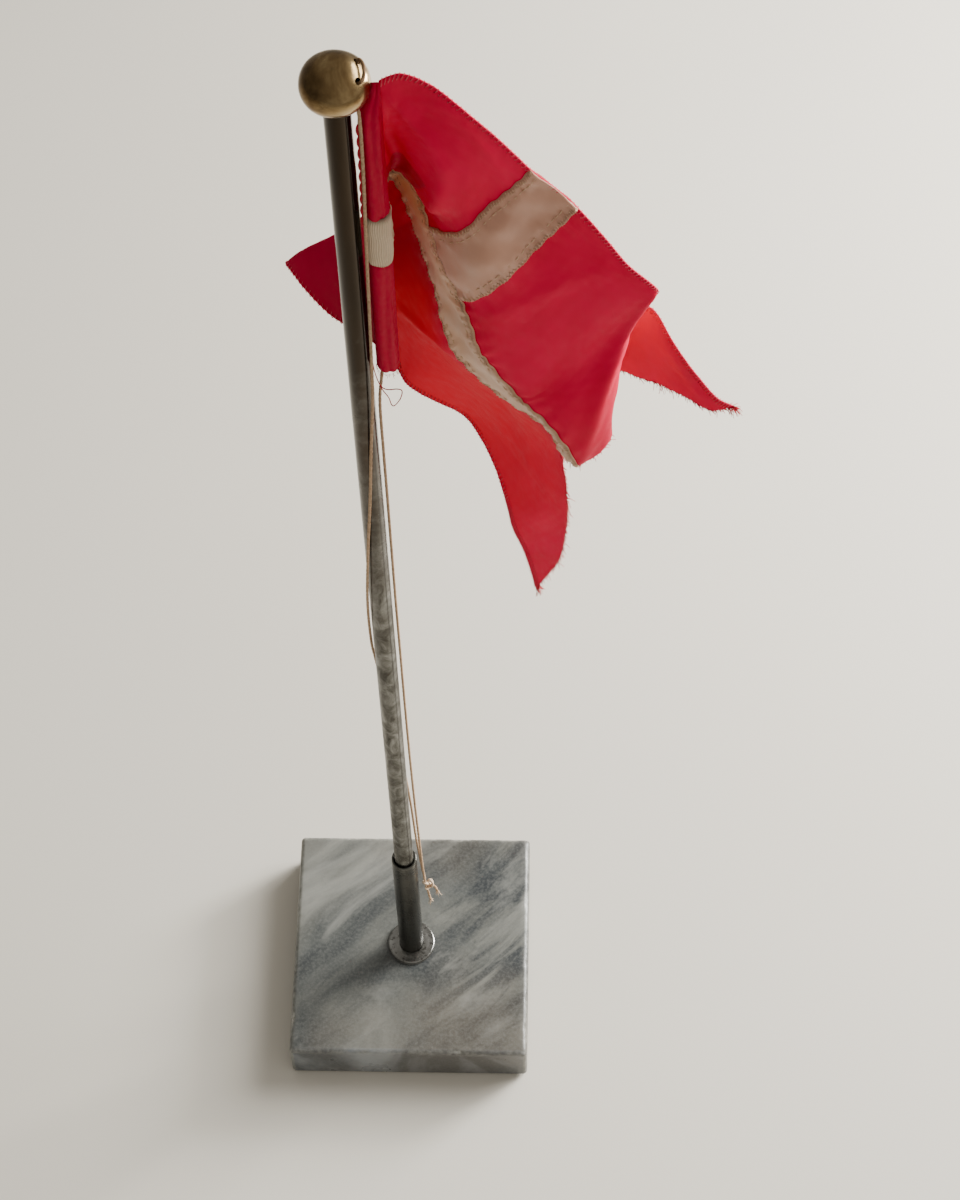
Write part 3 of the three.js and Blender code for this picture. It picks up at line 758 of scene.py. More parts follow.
def make_ball():
    """A hollow spun ball, a little flat, dented on its crown, with four holes for the cord."""
    wall, neck, hole_r = 0.7 * MM, POLE_R + 0.05 * MM, 0.78
    steps, crown = 44, 0.86

    def shell(radius, half, start, end):
        points = []
        for i in range(steps + 1):
            a = math.radians(start + (end - start) * i / steps)
            points.append((max(radius * math.cos(a), 0.0), BALL_Z + half * math.sin(a)))
        return points

    outer_start = -math.degrees(math.acos((neck + 0.35 * MM) / BALL_R))
    inner_end = -math.degrees(math.acos((neck + 0.35 * MM) / (BALL_R - wall)))
    outer = shell(BALL_R, BALL_HALF, outer_start, 90)
    inner = shell(BALL_R - wall, BALL_HALF - wall, 90, inner_end)
    collar_r, collar_z = outer[0]
    collar = [
        (neck, collar_z - 0.1 * MM), (neck + 0.22 * MM, collar_z - 0.32 * MM),
        (neck + 0.5 * MM, collar_z - 0.24 * MM), (collar_r + 0.2 * MM, collar_z),
    ]
    ball = new_object("ball_finial_spun", *lathe(outer[1:] + inner + collar, 112), BRASS)
    merge_close(ball, 0.002 * MM)
    for v in ball.data.vertices:
        rel = v.co - Vector((0, 0, BALL_Z))
        share = rel.z / BALL_HALF
        if share > crown:
            v.co.z -= (share - crown) * 1.6 * MM
        dent = hash_noise(v.co.x, v.co.y, v.co.z, 170, 6) * 0.10 * MM
        v.co += rel.normalized() * dent
    cutters = []
    for x, y in ((4.8, -3.0), (6.3, 0.25)):
        cutters.append((Vector((x * MM, y * MM, BALL_Z - 4 * MM)), Vector((0, 0, 1)), 3 * MM))
    for around, above in ((23, 47), (-28, 39)):
        a, b = math.radians(around), math.radians(above)
        x, y = BALL_R * math.cos(b) * math.cos(a), BALL_R * math.cos(b) * math.sin(a)
        place = Vector((x, y, BALL_HALF * math.sin(b)))
        cutters.append((place + Vector((0, 0, BALL_Z)), place.normalized(), 1.6 * MM))
    for place, way, reach in cutters:
        path = [place - way * reach, place, place + way * reach]
        drill = new_object("drill", *even_tube(path, hole_r, 24), BRASS)
        cut = ball.modifiers.new("hole", "BOOLEAN")
        cut.operation, cut.object, cut.solver = "DIFFERENCE", drill, "EXACT"
        apply_modifiers(ball)
        bpy.data.objects.remove(drill)
    smooth_shading(ball.data)
    ball.data.set_sharp_from_angle(angle=math.radians(40))
    placed(ball, "aged_brass", "pole", "ball_finial")


make_ball()

# ---- Flag: the flat pattern ----------------------------------------------------------------
# u runs from the sleeve to the fly and v from the upper hem down, in millimetres.

HOIST = 97.0
FLY = 195.0
CROTCH = 118.0
ARM_U = (45.5, 62.5)
ARM_V = (40.5, 56.5)
MIDDLE = HOIST / 2


def spaced(stops, step):
    """Values from the first stop to the last that fall on every stop, about step apart."""
    values = [stops[0]]
    for a, b in zip(stops, stops[1:]):
        count = max(1, round((b - a) / step))
        values += [a + (b - a) * k / count for k in range(1, count + 1)]
    return np.array(values)


STEP = 0.9
ROWS = spaced([0, ARM_V[0], MIDDLE, ARM_V[1], HOIST], STEP)
COLUMNS = spaced([0, ARM_U[0], ARM_U[1], CROTCH, FLY], STEP)


def fly_end(v):
    """Where the swallow-tail's raw edge is on a row."""
    return CROTCH + (FLY - CROTCH) * abs(v - MIDDLE) / MIDDLE


# How the cloth hangs: for a row v of the pattern, u and where that place is in space, from the
# pole's axis and the middle of the ball, all in millimetres.
HANG = {
    0: [(6, 13.2, 0, 3.4), (14, 19.3, -1, 1.2), (26, 27.7, -1.5, -7.7), (45.5, 40.1, 0, -26.4),
        (62.5, 50.6, 1, -41), (70, 55.5, 0.5, -48.7), (84, 62, 0, -59.8), (98, 68.9, 0, -68.6),
        (119, 58.7, 9, -84.8), (133, 57, 12, -98.5), (148, 68, 11, -89.7),
        (158, 73.1, 10, -100.1), (172, 79.8, 9.5, -114.1), (184, 85.1, 9, -123),
        (195, 90.4, 8, -126.6)], 5: [(187, 84.9, 8.5, -128.7)], 8: [(126, 57.5, 8, -91)],
    8.6: [(108, 66.4, 1, -75.9)], 10.7: [(178, 78.8, 9, -124.4)], 17: [(140, 56, 9.5, -108),
        (168, 72.3, 10, -120.4)], 17.6: [(118.5, 63.2, 0.5, -89.6)], 20: [(21, 18.2, -1, -17.1),
        (34, 26.9, -3, -28.5), (45.5, 30.2, -2, -37.5), (62.5, 40.2, -2, -54.2),
        (85, 50.4, -3, -68.9), (106, 56.5, -2, -89.4)], 22: [(12, 11.8, 4, -22.3),
        (160, 66.8, 10, -117.5)], 26.5: [(129, 61.1, -1, -104.9)],
    26.8: [(152.5, 59.4, 9, -113.3)], 30: [(54, 28.7, -4, -53.9)], 31.5: [(145, 56, 4, -123)],
    35.3: [(139, 60.4, -2, -124.6)], 36: [(32, 17.7, 2, -42.6)], 38: [(11, 9.2, 11, -40.6),
        (95, 38, -4, -102)], 40.5: [(37, 16.3, 12.5, -52.9), (45.5, 17.6, 8.6, -56.8),
        (54, 20.6, 4.8, -65.4), (62.5, 24.8, 2.2, -76.1), (70, 26.1, 0, -80),
        (81, 28.6, -1.9, -90), (92, 32.5, -2.2, -98.3), (107, 40.2, -3.9, -108.9),
        (118, 47.5, -7.4, -117.2), (131, 52.5, -6.5, -131.6)], 48.5: [(8, 6.9, 10, -50),
        (15, 6.5, 16.5, -51), (23, 8.2, 23, -53.5), (30, 11, 24, -55.8), (37, 13, 18.5, -57),
        (45.5, 14.8, 14, -62), (54, 17.2, 11, -69.1), (62.5, 19.3, 8, -76.4), (70, 22, 6, -83.3),
        (81, 25.1, 4, -94.2), (92, 30.2, 2, -104.7), (107, 39.5, 0, -115.9),
        (118, 46.5, -2, -123.1)], 56.5: [(37, 11, 22.1, -63.8), (45.5, 12.8, 19.2, -67.8),
        (54, 15.5, 14.8, -75.9), (62.5, 18.4, 10.8, -83.8), (70, 19.2, 7.7, -90.6),
        (81, 21.6, 6.5, -100.9), (92, 26.2, 6.2, -110.2), (107, 37.7, 4.2, -122.4),
        (118, 45.6, 2.1, -129.9), (131, 47.9, 6, -144.2)], 65.5: [(145, 49.4, 9.5, -164.8)],
    75: [(13, 2.5, 14, -76), (66, 9.1, 16, -94.8), (90, 18.3, 12, -111.4),
        (160, 49.9, 12, -185.7)], 86: [(178, 48, 14, -210.4)], 97: [(20, -7.5, 14, -98.5),
        (39, -18.6, 26, -94), (57.5, -5.8, 23.5, -108.5), (77, 7.1, 18, -124.6),
        (84, 9.2, 16.5, -130.2), (107, 23.2, 19, -147.7), (120, 28.4, 18, -159.3),
        (134, 33, 15, -176), (153, 35.3, 13.5, -190.8), (175, 39.3, 14.5, -209.3),
        (194, 41.8, 15.5, -226.9)],
}

# Creases and soft ridges: from one place on the pattern to another, height and half width.
CREASES = [
    ((1, 5), (27, 22), 1.3, 2.2), ((1, 14), (17, 34), -1.9, 3.4), ((27, 22), (34, 36), 0.9, 2.6),
    ((20, 4), (43, 9), 0.5, 3.0), ((48, 4), (56, 37), 0.5, 3.0), ((60, 2), (50, 36), -0.4, 2.5),
    ((68, 37), (82, 10), 0.5, 3.5), ((72, 38), (108, 26), -0.5, 4.5),
    ((99, 3), (128, 38), 1.3, 2.6), ((90, 36), (122, 44), 0.5, 3.0),
    ((67, 80), (82, 60), 0.8, 2.2), ((96, 64), (128, 84), -0.6, 4.0),
    ((117, 84), (150, 72), 0.7, 3.5), ((155, 4), (180, 5), 0.4, 2.0),
]


def crease_height(flat):
    """How far the creases lift each place of the pattern off its smooth hang."""
    total = np.zeros(len(flat))
    for start, end, height, width in CREASES:
        start, run = np.array(start, float), np.subtract(end, start).astype(float)
        along = ((flat - start) @ run) / (run @ run)
        near = start + np.clip(along, 0, 1)[:, None] * run
        away = np.linalg.norm(flat - near, axis=1)
        fade = np.clip(1.15 - np.abs(along - 0.5) * 1.3, 0, 1)
        total += height * fade * np.exp(-((away / width) ** 2))
    u, v = flat[:, 0], flat[:, 1]
    total += 0.16 * np.sin(u * 0.31 + 1.7 * np.sin(v * 0.13)) * np.sin(v * 0.23 + 0.8)
    total += 0.05 * np.sin(u * 1.1 + v * 0.7) * np.sin(v * 0.9 - u * 0.35)
    for edge in ARM_U:
        gather = 0.22 * np.sin(v * 1.25 + edge) * np.exp(-(((u - edge) / 3.0) ** 2))
        total += gather * (v < ARM_V[0])
    for edge in ARM_V:
        total += 0.20 * np.sin(u * 1.2 + edge) * np.exp(-(((v - edge) / 3.0) ** 2))
    return total


class Cloth:
    """The flag's cloth: a map from the pattern to space, and rows of points on it."""

    def __init__(self):
        self.fit()
        self.row_start, self.row_u, flat = [], [], []
        for row, v in enumerate(ROWS):
            end = fly_end(v)
            us = [u for u in COLUMNS if u < end - 0.55 * STEP] + [min(end, FLY)]
            if 0 < row < len(ROWS) - 1:
                us[-1] += 0.35 * math.sin(row * 2.1) * math.sin(row * 0.63)
            self.row_start.append(len(flat))
            self.row_u.append(np.array(us))
            flat.extend((u, v) for u in us)
        self.flat = np.array(flat)
        self.faces = self.make_faces()

    def make_faces(self):
        """Triangles between neighbouring rows, each row as long as it is."""
        faces = []
        for r in range(len(ROWS) - 1):
            a, b = self.row_start[r], self.row_start[r + 1]
            ua, ub = self.row_u[r], self.row_u[r + 1]
            i = j = 0
            while i < len(ua) - 1 or j < len(ub) - 1:
                step_a = ua[i + 1] if i < len(ua) - 1 else math.inf
                step_b = ub[j + 1] if j < len(ub) - 1 else math.inf
                if step_a <= step_b:
                    faces.append((a + i, b + j, a + i + 1))
                    i += 1
                else:
                    faces.append((a + i, b + j, b + j + 1))
                    j += 1
        return faces

    def sleeve_line(self, v):
        """Where the cloth leaves the sleeve: at its right above, round to its back below."""
        a = math.radians(np.interp(v, [0, 24, 40, 50, 60, 97], [0, 20, 60, 88, 84, 72]))
        top, stretch = 0.9, 1.02
        x, y = sleeve_middle(top - v)
        wide, deep = sleeve_size(top - v)
        return (x + wide * math.cos(a), y + deep * math.sin(a), top - v * stretch)

    def fit(self):
        """A thin plate through the places of HANG and the sleeve."""
        slack, along_sleeve = 4, 15
        knots = {(u, v): place for v, row in HANG.items() for u, *place in row}
        for v in np.linspace(0, HOIST, along_sleeve):
            knots[(0, v)] = self.sleeve_line(v)
        self.source = np.array(list(knots), float)
        target = np.array(list(knots.values()), float)
        n = len(self.source)
        system = np.zeros((n + 3, n + 3))
        system[:n, :n] = self.kernel(self.source) + np.eye(n) * slack
        plane = np.hstack([np.ones((n, 1)), self.source])
        system[:n, n:], system[n:, :n] = plane, plane.T
        self.weights = np.linalg.solve(system, np.vstack([target, np.zeros((3, 3))]))

    def kernel(self, flat):
        r2 = ((flat[:, None, :] - self.source[None, :, :]) ** 2).sum(-1)
        return 0.5 * r2 * np.log(r2 + 1e-9)

    def smooth(self, flat):
        plane = np.hstack([np.ones((len(flat), 1)), flat])
        return np.hstack([self.kernel(flat), plane]) @ self.weights

    def pull(self, flat):
        """The first few millimetres are drawn right onto the sleeve."""
        reach, tuck = 5, (0.35, 0, 0)
        moved = np.zeros((len(flat), 3))
        near = np.flatnonzero(flat[:, 0] < reach)
        if len(near):
            hoist = flat[near] * (0, 1)
            line = np.array([self.sleeve_line(v) for v in hoist[:, 1]])
            share = 1 - np.clip(flat[near, :1] / reach, 0, 1)
            moved[near] = (line - tuck - self.smooth(hoist)) * share
        return moved

    def places(self, flat, lift=0.0):
        """Where places of the pattern are, in metres, lifted off the front face."""
        flat = np.array(flat, float).reshape(-1, 2)
        here = self.smooth(flat) + self.pull(flat)
        step, flat_hoist, gap = 0.4, 4, 1.0
        along = self.smooth(flat + (step, 0)) - self.smooth(flat - (step, 0))
        down = self.smooth(flat + (0, step)) - self.smooth(flat - (0, step))
        normal = np.cross(down, along)
        normal /= np.maximum(np.linalg.norm(normal, axis=1, keepdims=True), 1e-9)
        free = np.clip(flat[:, 0] / flat_hoist, 0, 1)
        here = here + normal * (crease_height(flat) * free + lift)[:, None]
        out = np.hypot(here[:, 0], here[:, 1])
        clear = POLE_R / MM + gap
        inside = out < clear
        here[inside, :2] *= (clear / np.maximum(out[inside], 1e-6))[:, None]
        here *= MM
        here[:, 2] += BALL_Z
        return here

    def line(self, flat, lift=0.0):
        return [Vector(p) for p in self.places(flat, lift)]


def sleeve_middle(z):
    """The middle of the sleeve, z millimetres over the ball's middle: it leans off the ball."""
    lean = float(np.interp(z, [-12, -7, -3, 1.5], [0, 0.2, 1.3, 1.8]))
    return SLEEVE_X / MM + lean, 0.0


def sleeve_size(z):
    """The sleeve's half width and half depth: it is pinched where the ball presses it."""
    reach = SLEEVE_R / MM
    wide = float(np.interp(z, [-12, -7, -3, 1.5], [reach, reach * 0.92, 1.5, 0.8]))
    deep = float(np.interp(z, [-12, -7, -3, 1.5], [reach, reach * 0.85, 1.1, 0.8]))
    return wide, deep


cloth = Cloth()


def flag_piece(made, slot, *nodes):
    return placed(made, slot, "flag", *nodes)


def flat_attribute(made, coords):
    field = made.data.attributes.new("flat", "FLOAT_VECTOR", "POINT")
    values = []
    for u, v in coords:
        values += [u * MM, v * MM, 0.0]
    field.data.foreach_set("vector", values)


def thicken(made, thickness):
    thick = made.modifiers.new("thick", "SOLIDIFY")
    thick.thickness, thick.offset = thickness, 0
    apply_modifiers(made)


def dim_the_back(made, shades):
    """Darkens the cloth's back so that direct light there washes its red out less.

    It corrects the lighting, and stands for nothing seen in the photograph.
    """
    back_shade = 0.38
    count = len(cloth.flat)
    places = np.zeros(len(made.data.vertices) * 3)
    made.data.vertices.foreach_get("co", places)
    middle = cloth.places(cloth.flat)
    ahead = cloth.places(cloth.flat, 0.5) - middle
    first_is_front = ((places.reshape(-1, 3)[:count] - middle) * ahead).sum() > 0
    behind = np.maximum(shades, back_shade)
    halves = (shades, behind) if first_is_front else (behind, shades)
    made.data.attributes["shade"].data.foreach_set("value", np.concatenate(halves))


def make_red_cloth():
    made = new_object("flag_cloth", cloth.places(cloth.flat), cloth.faces, RED)
    flat_attribute(made, cloth.flat)
    u, v = cloth.flat[:, 0], cloth.flat[:, 1]
    # Painted shade: darker where the upright ribbon behind blocks the light through the cloth, in
    # the fold under the upper field, and towards the lower hoist corner.
    ribbon_shadow = (u > ARM_U[0]) & (u < ARM_U[1]) & (v > ARM_V[1])
    fold_shade = (u < 26) & (v > 30) & (v < 40)
    corner = np.clip((v - 60) / 20, 0, 1) * np.clip((56 - u) / 14, 0, 1)
    shades = np.maximum(np.where(ribbon_shadow, 0.3, np.where(fold_shade, 0.5, 0.0)), 0.55 * corner)
    point_values(made, "shade", shades)
    # Brighter below the cross, where the lights here fall short of the photograph's.
    lit = np.clip((v - 56.5) / 8, 0, 1) * np.clip((u - 50) / 14, 0, 1)
    lit *= np.clip((170 - u) / 60, 0, 1)
    point_values(made, "lit", lit)
    thicken(made, 0.2 * MM)
    dim_the_back(made, shades)
    return flag_piece(made, "red_cloth")


def make_ribbon(name, u_range, v_range, lift):
    """A ribbon sewn on the cloth, puckered along its stitches, over part of the pattern."""
    step = 0.7
    us = spaced(u_range, step)
    vs = spaced(v_range, step)
    along_u = u_range[1] - u_range[0] > v_range[1] - v_range[0]
    side = 1 if lift > 0 else -1
    coords, heights, edges, keep = [], [], [], {}
    for i, u in enumerate(us):
        for j, v in enumerate(vs):
            if u > fly_end(v) + step:
                continue
            across, span, run = v - v_range[0], v_range[1] - v_range[0], u
            if not along_u:
                across, span, run = u - u_range[0], u_range[1] - u_range[0], v
            edge = min(across, span - across)
            pucker = 0.20 * math.exp(-(((edge - 2.4) / 1.3) ** 2)) * math.sin(run * 2.2)
            pillow = 0.22 * math.sin(run * 0.55 + across * 0.5) * min(1, edge / 4)
            rise = 0.24 * min(1, edge / 1.0) - 0.16 * math.exp(-(((edge - 2.3) / 0.5) ** 2))
            keep[(i, j)] = len(coords)
            coords.append((min(u, fly_end(v)), v))
            heights.append(side * (abs(lift) + rise + pucker + pillow))
            edges.append(edge)
    faces = []
    for i in range(len(us) - 1):
        for j in range(len(vs) - 1):
            corners = [keep.get(k) for k in ((i, j), (i + 1, j), (i + 1, j + 1), (i, j + 1))]
            known = [c for c in corners if c is not None]
            if len(known) >= 3:
                faces.append(known)
    made = new_object(name, cloth.places(coords, np.array(heights)), faces, RIBBON)
    flat_attribute(made, coords)
    point_values(made, "shade", [0.05 if e < 1.6 else 0.0 for e in edges])
    # Brightest near the pole, again to make up for the light.
    lit = np.interp([u for u, _ in coords], [0, 38, 64, 80], [1, 0.75, 0.5, 0.3])
    point_values(made, "lit", lit * along_u)
    thicken(made, 0.18 * MM)
    return flag_piece(made, "ribbon")


def edge_stitches(start, end, inward, lift, parts):
    """A band of zigzag thread along a ribbon's edge, and a dashed seam beside it."""
    (u0, v0), (u1, v1) = start, end
    length = math.hypot(u1 - u0, v1 - v0)
    along = ((u1 - u0) / length, (v1 - v0) / length)
    pitch, depths, raw_edge = 0.9, (0.15, 1.4), 0.3
    dash, dash_inset, dash_points = 1.9, 2.7, 5

    def at(t, reach):
        return u0 + along[0] * t + inward[0] * reach, v0 + along[1] * t + inward[1] * reach

    band = [at(k * pitch / 2, depths[k % 2]) for k in range(int(length / pitch * 2))]
    band = [(u, v) for u, v in band if u < fly_end(v) - raw_edge]
    if len(band) > 3:
        parts.append(even_tube(cloth.line(band, lift + math.copysign(0.16, lift)), 0.11))
    arch = np.sin(np.pi * np.arange(dash_points) / (dash_points - 1))
    for k in range(int(length / dash)):
        shares = [k + 0.1 + 0.72 * m / (dash_points - 1) for m in range(dash_points)]
        points = [at(share * dash, dash_inset) for share in shares]
        if points[-1][0] < fly_end(points[-1][1]) - raw_edge:
            rise = lift + np.copysign(0.2 * arch, lift)
            parts.append(even_tube(cloth.line(points, rise), 0.12))


def make_stitches():
    pieces = []
    top, low = ARM_V
    left, right = ARM_U
    for name, lift in (("front", 0.40), ("back", -0.40)):
        parts = []
        edge_stitches((0.5, top), (fly_end(top), top), (0, 1), lift, parts)
        edge_stitches((0.5, low), (fly_end(low), low), (0, -1), lift, parts)
        runs = [(0.6, top - 0.4)]
        if name == "back":
            runs.append((low + 0.4, HOIST - 0.6))
        for first, last in runs:
            edge_stitches((left, first), (left, last), (1, 0), lift, parts)
            edge_stitches((right, first), (right, last), (-1, 0), lift, parts)
        made = new_object("ribbon_stitches_" + name, *joined(parts), RIBBON_THREAD)
        pieces.append(flag_piece(made, "ribbon"))
    return pieces


def make_hems():
    """Overlocked long edges: a rolled hem, and a zigzag of thread whose loops stand past it."""
    pieces = []
    for name, edge, inward in (("upper", 0.0, 1), ("lower", HOIST, -1)):
        us = np.arange(0.4, FLY - 1.0, 0.8)
        roll = cloth.line([(u, edge + inward * 0.25) for u in us])
        made = new_object("hem_roll_" + name, *even_tube(roll, 0.27, 8), RED)
        flat_attribute(made, [(0, 0)] * len(made.data.vertices))
        point_values(made, "shade", [0.15] * len(made.data.vertices))
        pieces.append(flag_piece(made, "red_cloth"))
        pitch = 1.3
        count = int((FLY - 2) / pitch) * 4
        depths = [(1.7, 0.5, -0.45, 0.5)[k % 4] for k in range(count)]
        heights = np.array([(0.24, 0.40, 0.0, -0.40)[k % 4] for k in range(count)])
        flat = [(0.6 + k * pitch / 4, edge + inward * d) for k, d in enumerate(depths)]
        thread = cloth.line(flat, heights)
        made = new_object("hem_thread_" + name, *even_tube(thread, 0.12), PINK_THREAD)
        pieces.append(flag_piece(made, "red_cloth"))
    return pieces


def make_fringe():
    """Frayed threads all along the raw edges of the two tails, thickest at the tips."""
    red, pale = [], []
    count, more_at_tip = 380, 26
    for side in (-1, 1):
        shares = [(k + random.random()) / count for k in range(count)]
        shares += [1 - 0.03 * random.random() for _ in range(more_at_tip)]
        flat = [(CROTCH + (FLY - CROTCH) * t, MIDDLE + side * MIDDLE * t) for t in shares]
        edges = cloth.line([(u - 0.15, v) for u, v in flat])
        inners = cloth.line([(u - 2.0, v + side * 0.4) for u, v in flat])
        for (u, v), t, edge, inner in zip(flat, shares, edges, inners):
            out = (edge - inner).normalized()
            tip = t > 0.96
            long_one = tip or random.random() < 0.14
            reach = random.uniform(1.4, 2.8) if long_one else random.uniform(0.4, 1.2)
            spread = 0.8 if tip else 0.5
            way = out + jitter(spread)
            way.normalize()
            droop = Vector((random.uniform(-0.2, 0.2), random.uniform(-0.2, 0.2), -0.35)) * MM
            path = [
                edge - out * 0.3 * MM,
                edge + way * reach * 0.5 * MM,
                edge + way * reach * MM + droop * reach * 0.6,
            ]
            in_ribbon = abs(v - MIDDLE) < (ARM_V[1] - ARM_V[0]) / 2
            parts = pale if in_ribbon and random.random() < 0.7 else red
            parts.append(tube_mesh(path, lambda i: (0.10 - 0.022 * i) * MM, 4))
    return [
        flag_piece(new_object("tail_fringe_red", *joined(red), RED_THREAD), "red_cloth"),
        flag_piece(new_object("tail_fringe_pale", *joined(pale), PALE_THREAD), "ribbon"),
    ]


# ---- Flag: the sleeve round the halyard ----------------------------------------------------


def sleeve_piece(name, node, low, high, material, slot, bulge, ribs, seed):
    """A crumpled cloth tube with folds along it, and open ends turned a little in."""
    step = wall = 0.35  # millimetres
    rings, around = max(16, int((high - low) / (step * MM))), 6 * ribs if ribs else 84
    grooves = () if ribs else ((-74, 0.55), (-20, 0.35))  # degrees round, depth
    groove_width, end_shade, plain_shade = 0.34, 0.8, 0.62
    ball = node == "sleeve_upper"
    outer, inner = [], []
    for i in range(rings + 1):
        t = i / rings
        z = low + (high - low) * t
        rise = (z - BALL_Z) / MM
        x0, y0 = sleeve_middle(rise)
        wide, deep = sleeve_size(rise)
        gather = float(np.interp(rise, [-14, -4], [0, 1]))
        end = min(t, 1 - t) * (high - low)
        ragged = 0.35 * MM if not ball and (t > 0.5 or ribs) else 0.0
        for j in range(around):
            a = 2 * math.pi * j / around
            x, y = math.cos(a), math.sin(a)
            folds = hash_noise(x, y, rise * 0.035, 0.9, seed)
            ripple = hash_noise(x, y, rise * 0.30, 2.2, seed + 3)
            swell = -0.22 * folds + (0.07 + 0.10 * gather) * ripple
            for lean, depth in grooves:
                wander = math.radians(lean + 9 * math.sin(rise * 0.11 + seed + lean))
                away = math.atan2(math.sin(a - wander), math.cos(a - wander))
                swell -= depth * math.exp(-((away / groove_width) ** 2))
            if ribs:
                swell += 0.12 * math.cos(ribs * a + 1.3 * math.sin(rise * 0.8 + 2 * x))
            swell += bulge * math.sin(math.pi * t) ** 0.35 / MM
            swell -= 0.4 * math.exp(-end / (0.6 * MM))
            left = (1 - t) * (high - low) / MM
            shut = float(np.interp(left, [0, 0.4, 1.4, 3], [0.12, 0.45, 0.85, 1])) if ball else 1
            upright = Vector((0, 0, z + ragged * hash_noise(x, y, t, 1.7, seed + 5)))
            for reach, ring in ((0.0, outer), (wall, inner)):
                px = x0 + max(0.02, wide + swell * shut - reach) * x
                py = y0 + max(0.02, (deep + swell) * shut - reach) * y
                ring.append(Vector((px, py, 0)) * MM + upright)
    count = (rings + 1) * around
    faces = ring_faces(rings, around)
    faces += [(count + b, count + a, count + d, count + c) for a, b, c, d in faces]
    for j in range(around):
        k = (j + 1) % around
        faces.append((k, j, count + j, count + k))
        a, b = rings * around + j, rings * around + k
        faces.append((a, b, count + b, count + a))
    made = new_object(name, outer + inner, faces, material)
    girth = 17.6
    coords = [(i * step, girth * j / around) for i in range(rings + 1) for j in range(around)]
    flat_attribute(made, coords * 2)
    # Painted shade: darker towards the open ends, over the whole of a plain sleeve, and in the
    # grooves between the band's ribs.
    shades = []
    for v in made.data.vertices:
        t = (v.co.z - low) / (high - low)
        deep = plain_shade
        if ribs:
            turn = math.atan2(v.co.y, v.co.x - SLEEVE_X)
            rise = (v.co.z - BALL_Z) / MM
            wave = math.cos(ribs * turn + 1.3 * math.sin(rise * 0.8 + 2 * math.cos(turn)))
            deep = 0.30 * max(0.0, -wave)
        shades.append(max(deep, end_shade - min(t, 1 - t) * (high - low) / (1.6 * MM)))
    point_values(made, "shade", shades)
    return flag_piece(made, slot, node)


def sleeve_fringe():
    """Short threads hanging from the sleeve's lower end."""
    parts, count, r = [], 46, SLEEVE_R * 0.97
    for k in range(count):
        a = 2 * math.pi * (k + random.random() * 0.6) / count
        start = Vector((SLEEVE_X + r * math.cos(a), r * math.sin(a), sleeve_low[2] - 0.4 * MM))
        reach = random.uniform(0.4, 1.4) * MM
        way = Vector((math.cos(a) * 0.35, math.sin(a) * 0.35, -1)).normalized()
        path = [start, start + way * reach * 0.5, start + way * reach + jitter(0.25) * MM]
        parts.append(tube_mesh(path, lambda i: (0.08 - 0.02 * i) * MM, 4))
    return flag_piece(new_object("sleeve_fringe", *joined(parts), RED_THREAD), "red_cloth")


def loose_thread():
    """One long thread that has come out of the sleeve's end and loops over the strands."""
    loop = [
        (3.4, -2.9, 345.5), (3.9, -3.1, 340.6), (5.0, -3.3, 336.2), (6.6, -3.4, 335.0),
        (8.8, -3.5, 335.4), (9.9, -3.5, 334.6), (9.4, -3.6, 331.6), (8.0, -3.6, 328.8),
        (7.2, -3.6, 329.0), (6.6, -3.5, 331.9), (5.2, -3.3, 335.0), (4.1, -3.1, 339.2),
    ]
    lifted = [Vector(p) * MM + Vector((0, 0, SLAB_TOP)) for p in loop]
    thread = even_tube(smooth_path(lifted, 8), 0.13, 6)
    return flag_piece(new_object("loose_thread", *thread, RED_THREAD), "red_cloth")


def sleeve_scallops():
    """The sleeve's seam, drawn into scallops beside the outer strand."""
    top, low, scallops = 449 * MM, 415 * MM, 9
    cord = smooth_path(in_metres(OUTER_STRAND[:5]), 40)
    edge = [p for p in cord if low < p.z < top]
    inner, outer = [], []
    for p in edge:
        fall = (top - p.z) / (34 * MM)
        out = abs(math.sin(math.pi * fall * scallops)) ** 0.6 * 0.55 * MM
        inner.append(p + Vector((-0.30 * MM, 0.25 * MM, 0)))
        outer.append(p + Vector((-0.52 * MM - out, 0.35 * MM, 0)))
    count = len(edge)
    faces = [(m, m + 1, count + m + 1, count + m) for m in range(count - 1)]
    made = new_object("sleeve_scallops", inner + outer, faces, RED_THREAD)
    thicken(made, 0.3 * MM)
    return flag_piece(made, "red_cloth")


def band_threads():
    """Loose pale threads beside the sleeve's band."""
    parts, steps = [], 15
    for k in range(5):
        path = []
        for m in range(steps + 1):
            t = m / steps
            a = math.radians(12 + 10 * k + 14 * math.sin(5 * t + k))
            r = SLEEVE_R + (0.35 + 0.25 * math.sin(7 * t + 2 * k)) * MM
            z = band_high[2] + (3.4 - 11.5 * t - k * 0.5) * MM
            path.append(Vector((SLEEVE_X + r * math.cos(a), r * math.sin(a) - 1.0 * MM, z)))
        parts.append(even_tube(path, 0.1))
    return flag_piece(new_object("band_loose_threads", *joined(parts), PALE_THREAD), "ribbon")


def make_sleeve():
    pieces = [
        sleeve_piece("sleeve_upper_cloth", "sleeve_upper", top_sleeve_low[2] - 0.4 * MM,
                     BALL_Z + 0.5 * MM, RED, "red_cloth", 0.0, 0, 11),
        sleeve_piece("sleeve_band_cloth", "sleeve_band", band_low[2] - 0.5 * MM,
                     band_high[2] + 0.2 * MM, BAND, "ribbon", 0.28 * MM, 34, 12),
        sleeve_piece("sleeve_lower_cloth", "sleeve_lower", sleeve_low[2] - 0.6 * MM,
                     sleeve_high[2] + 0.4 * MM, RED, "red_cloth", 0.05 * MM, 0, 13),
    ]
    return pieces + [sleeve_fringe(), loose_thread(), sleeve_scallops(), band_threads()]


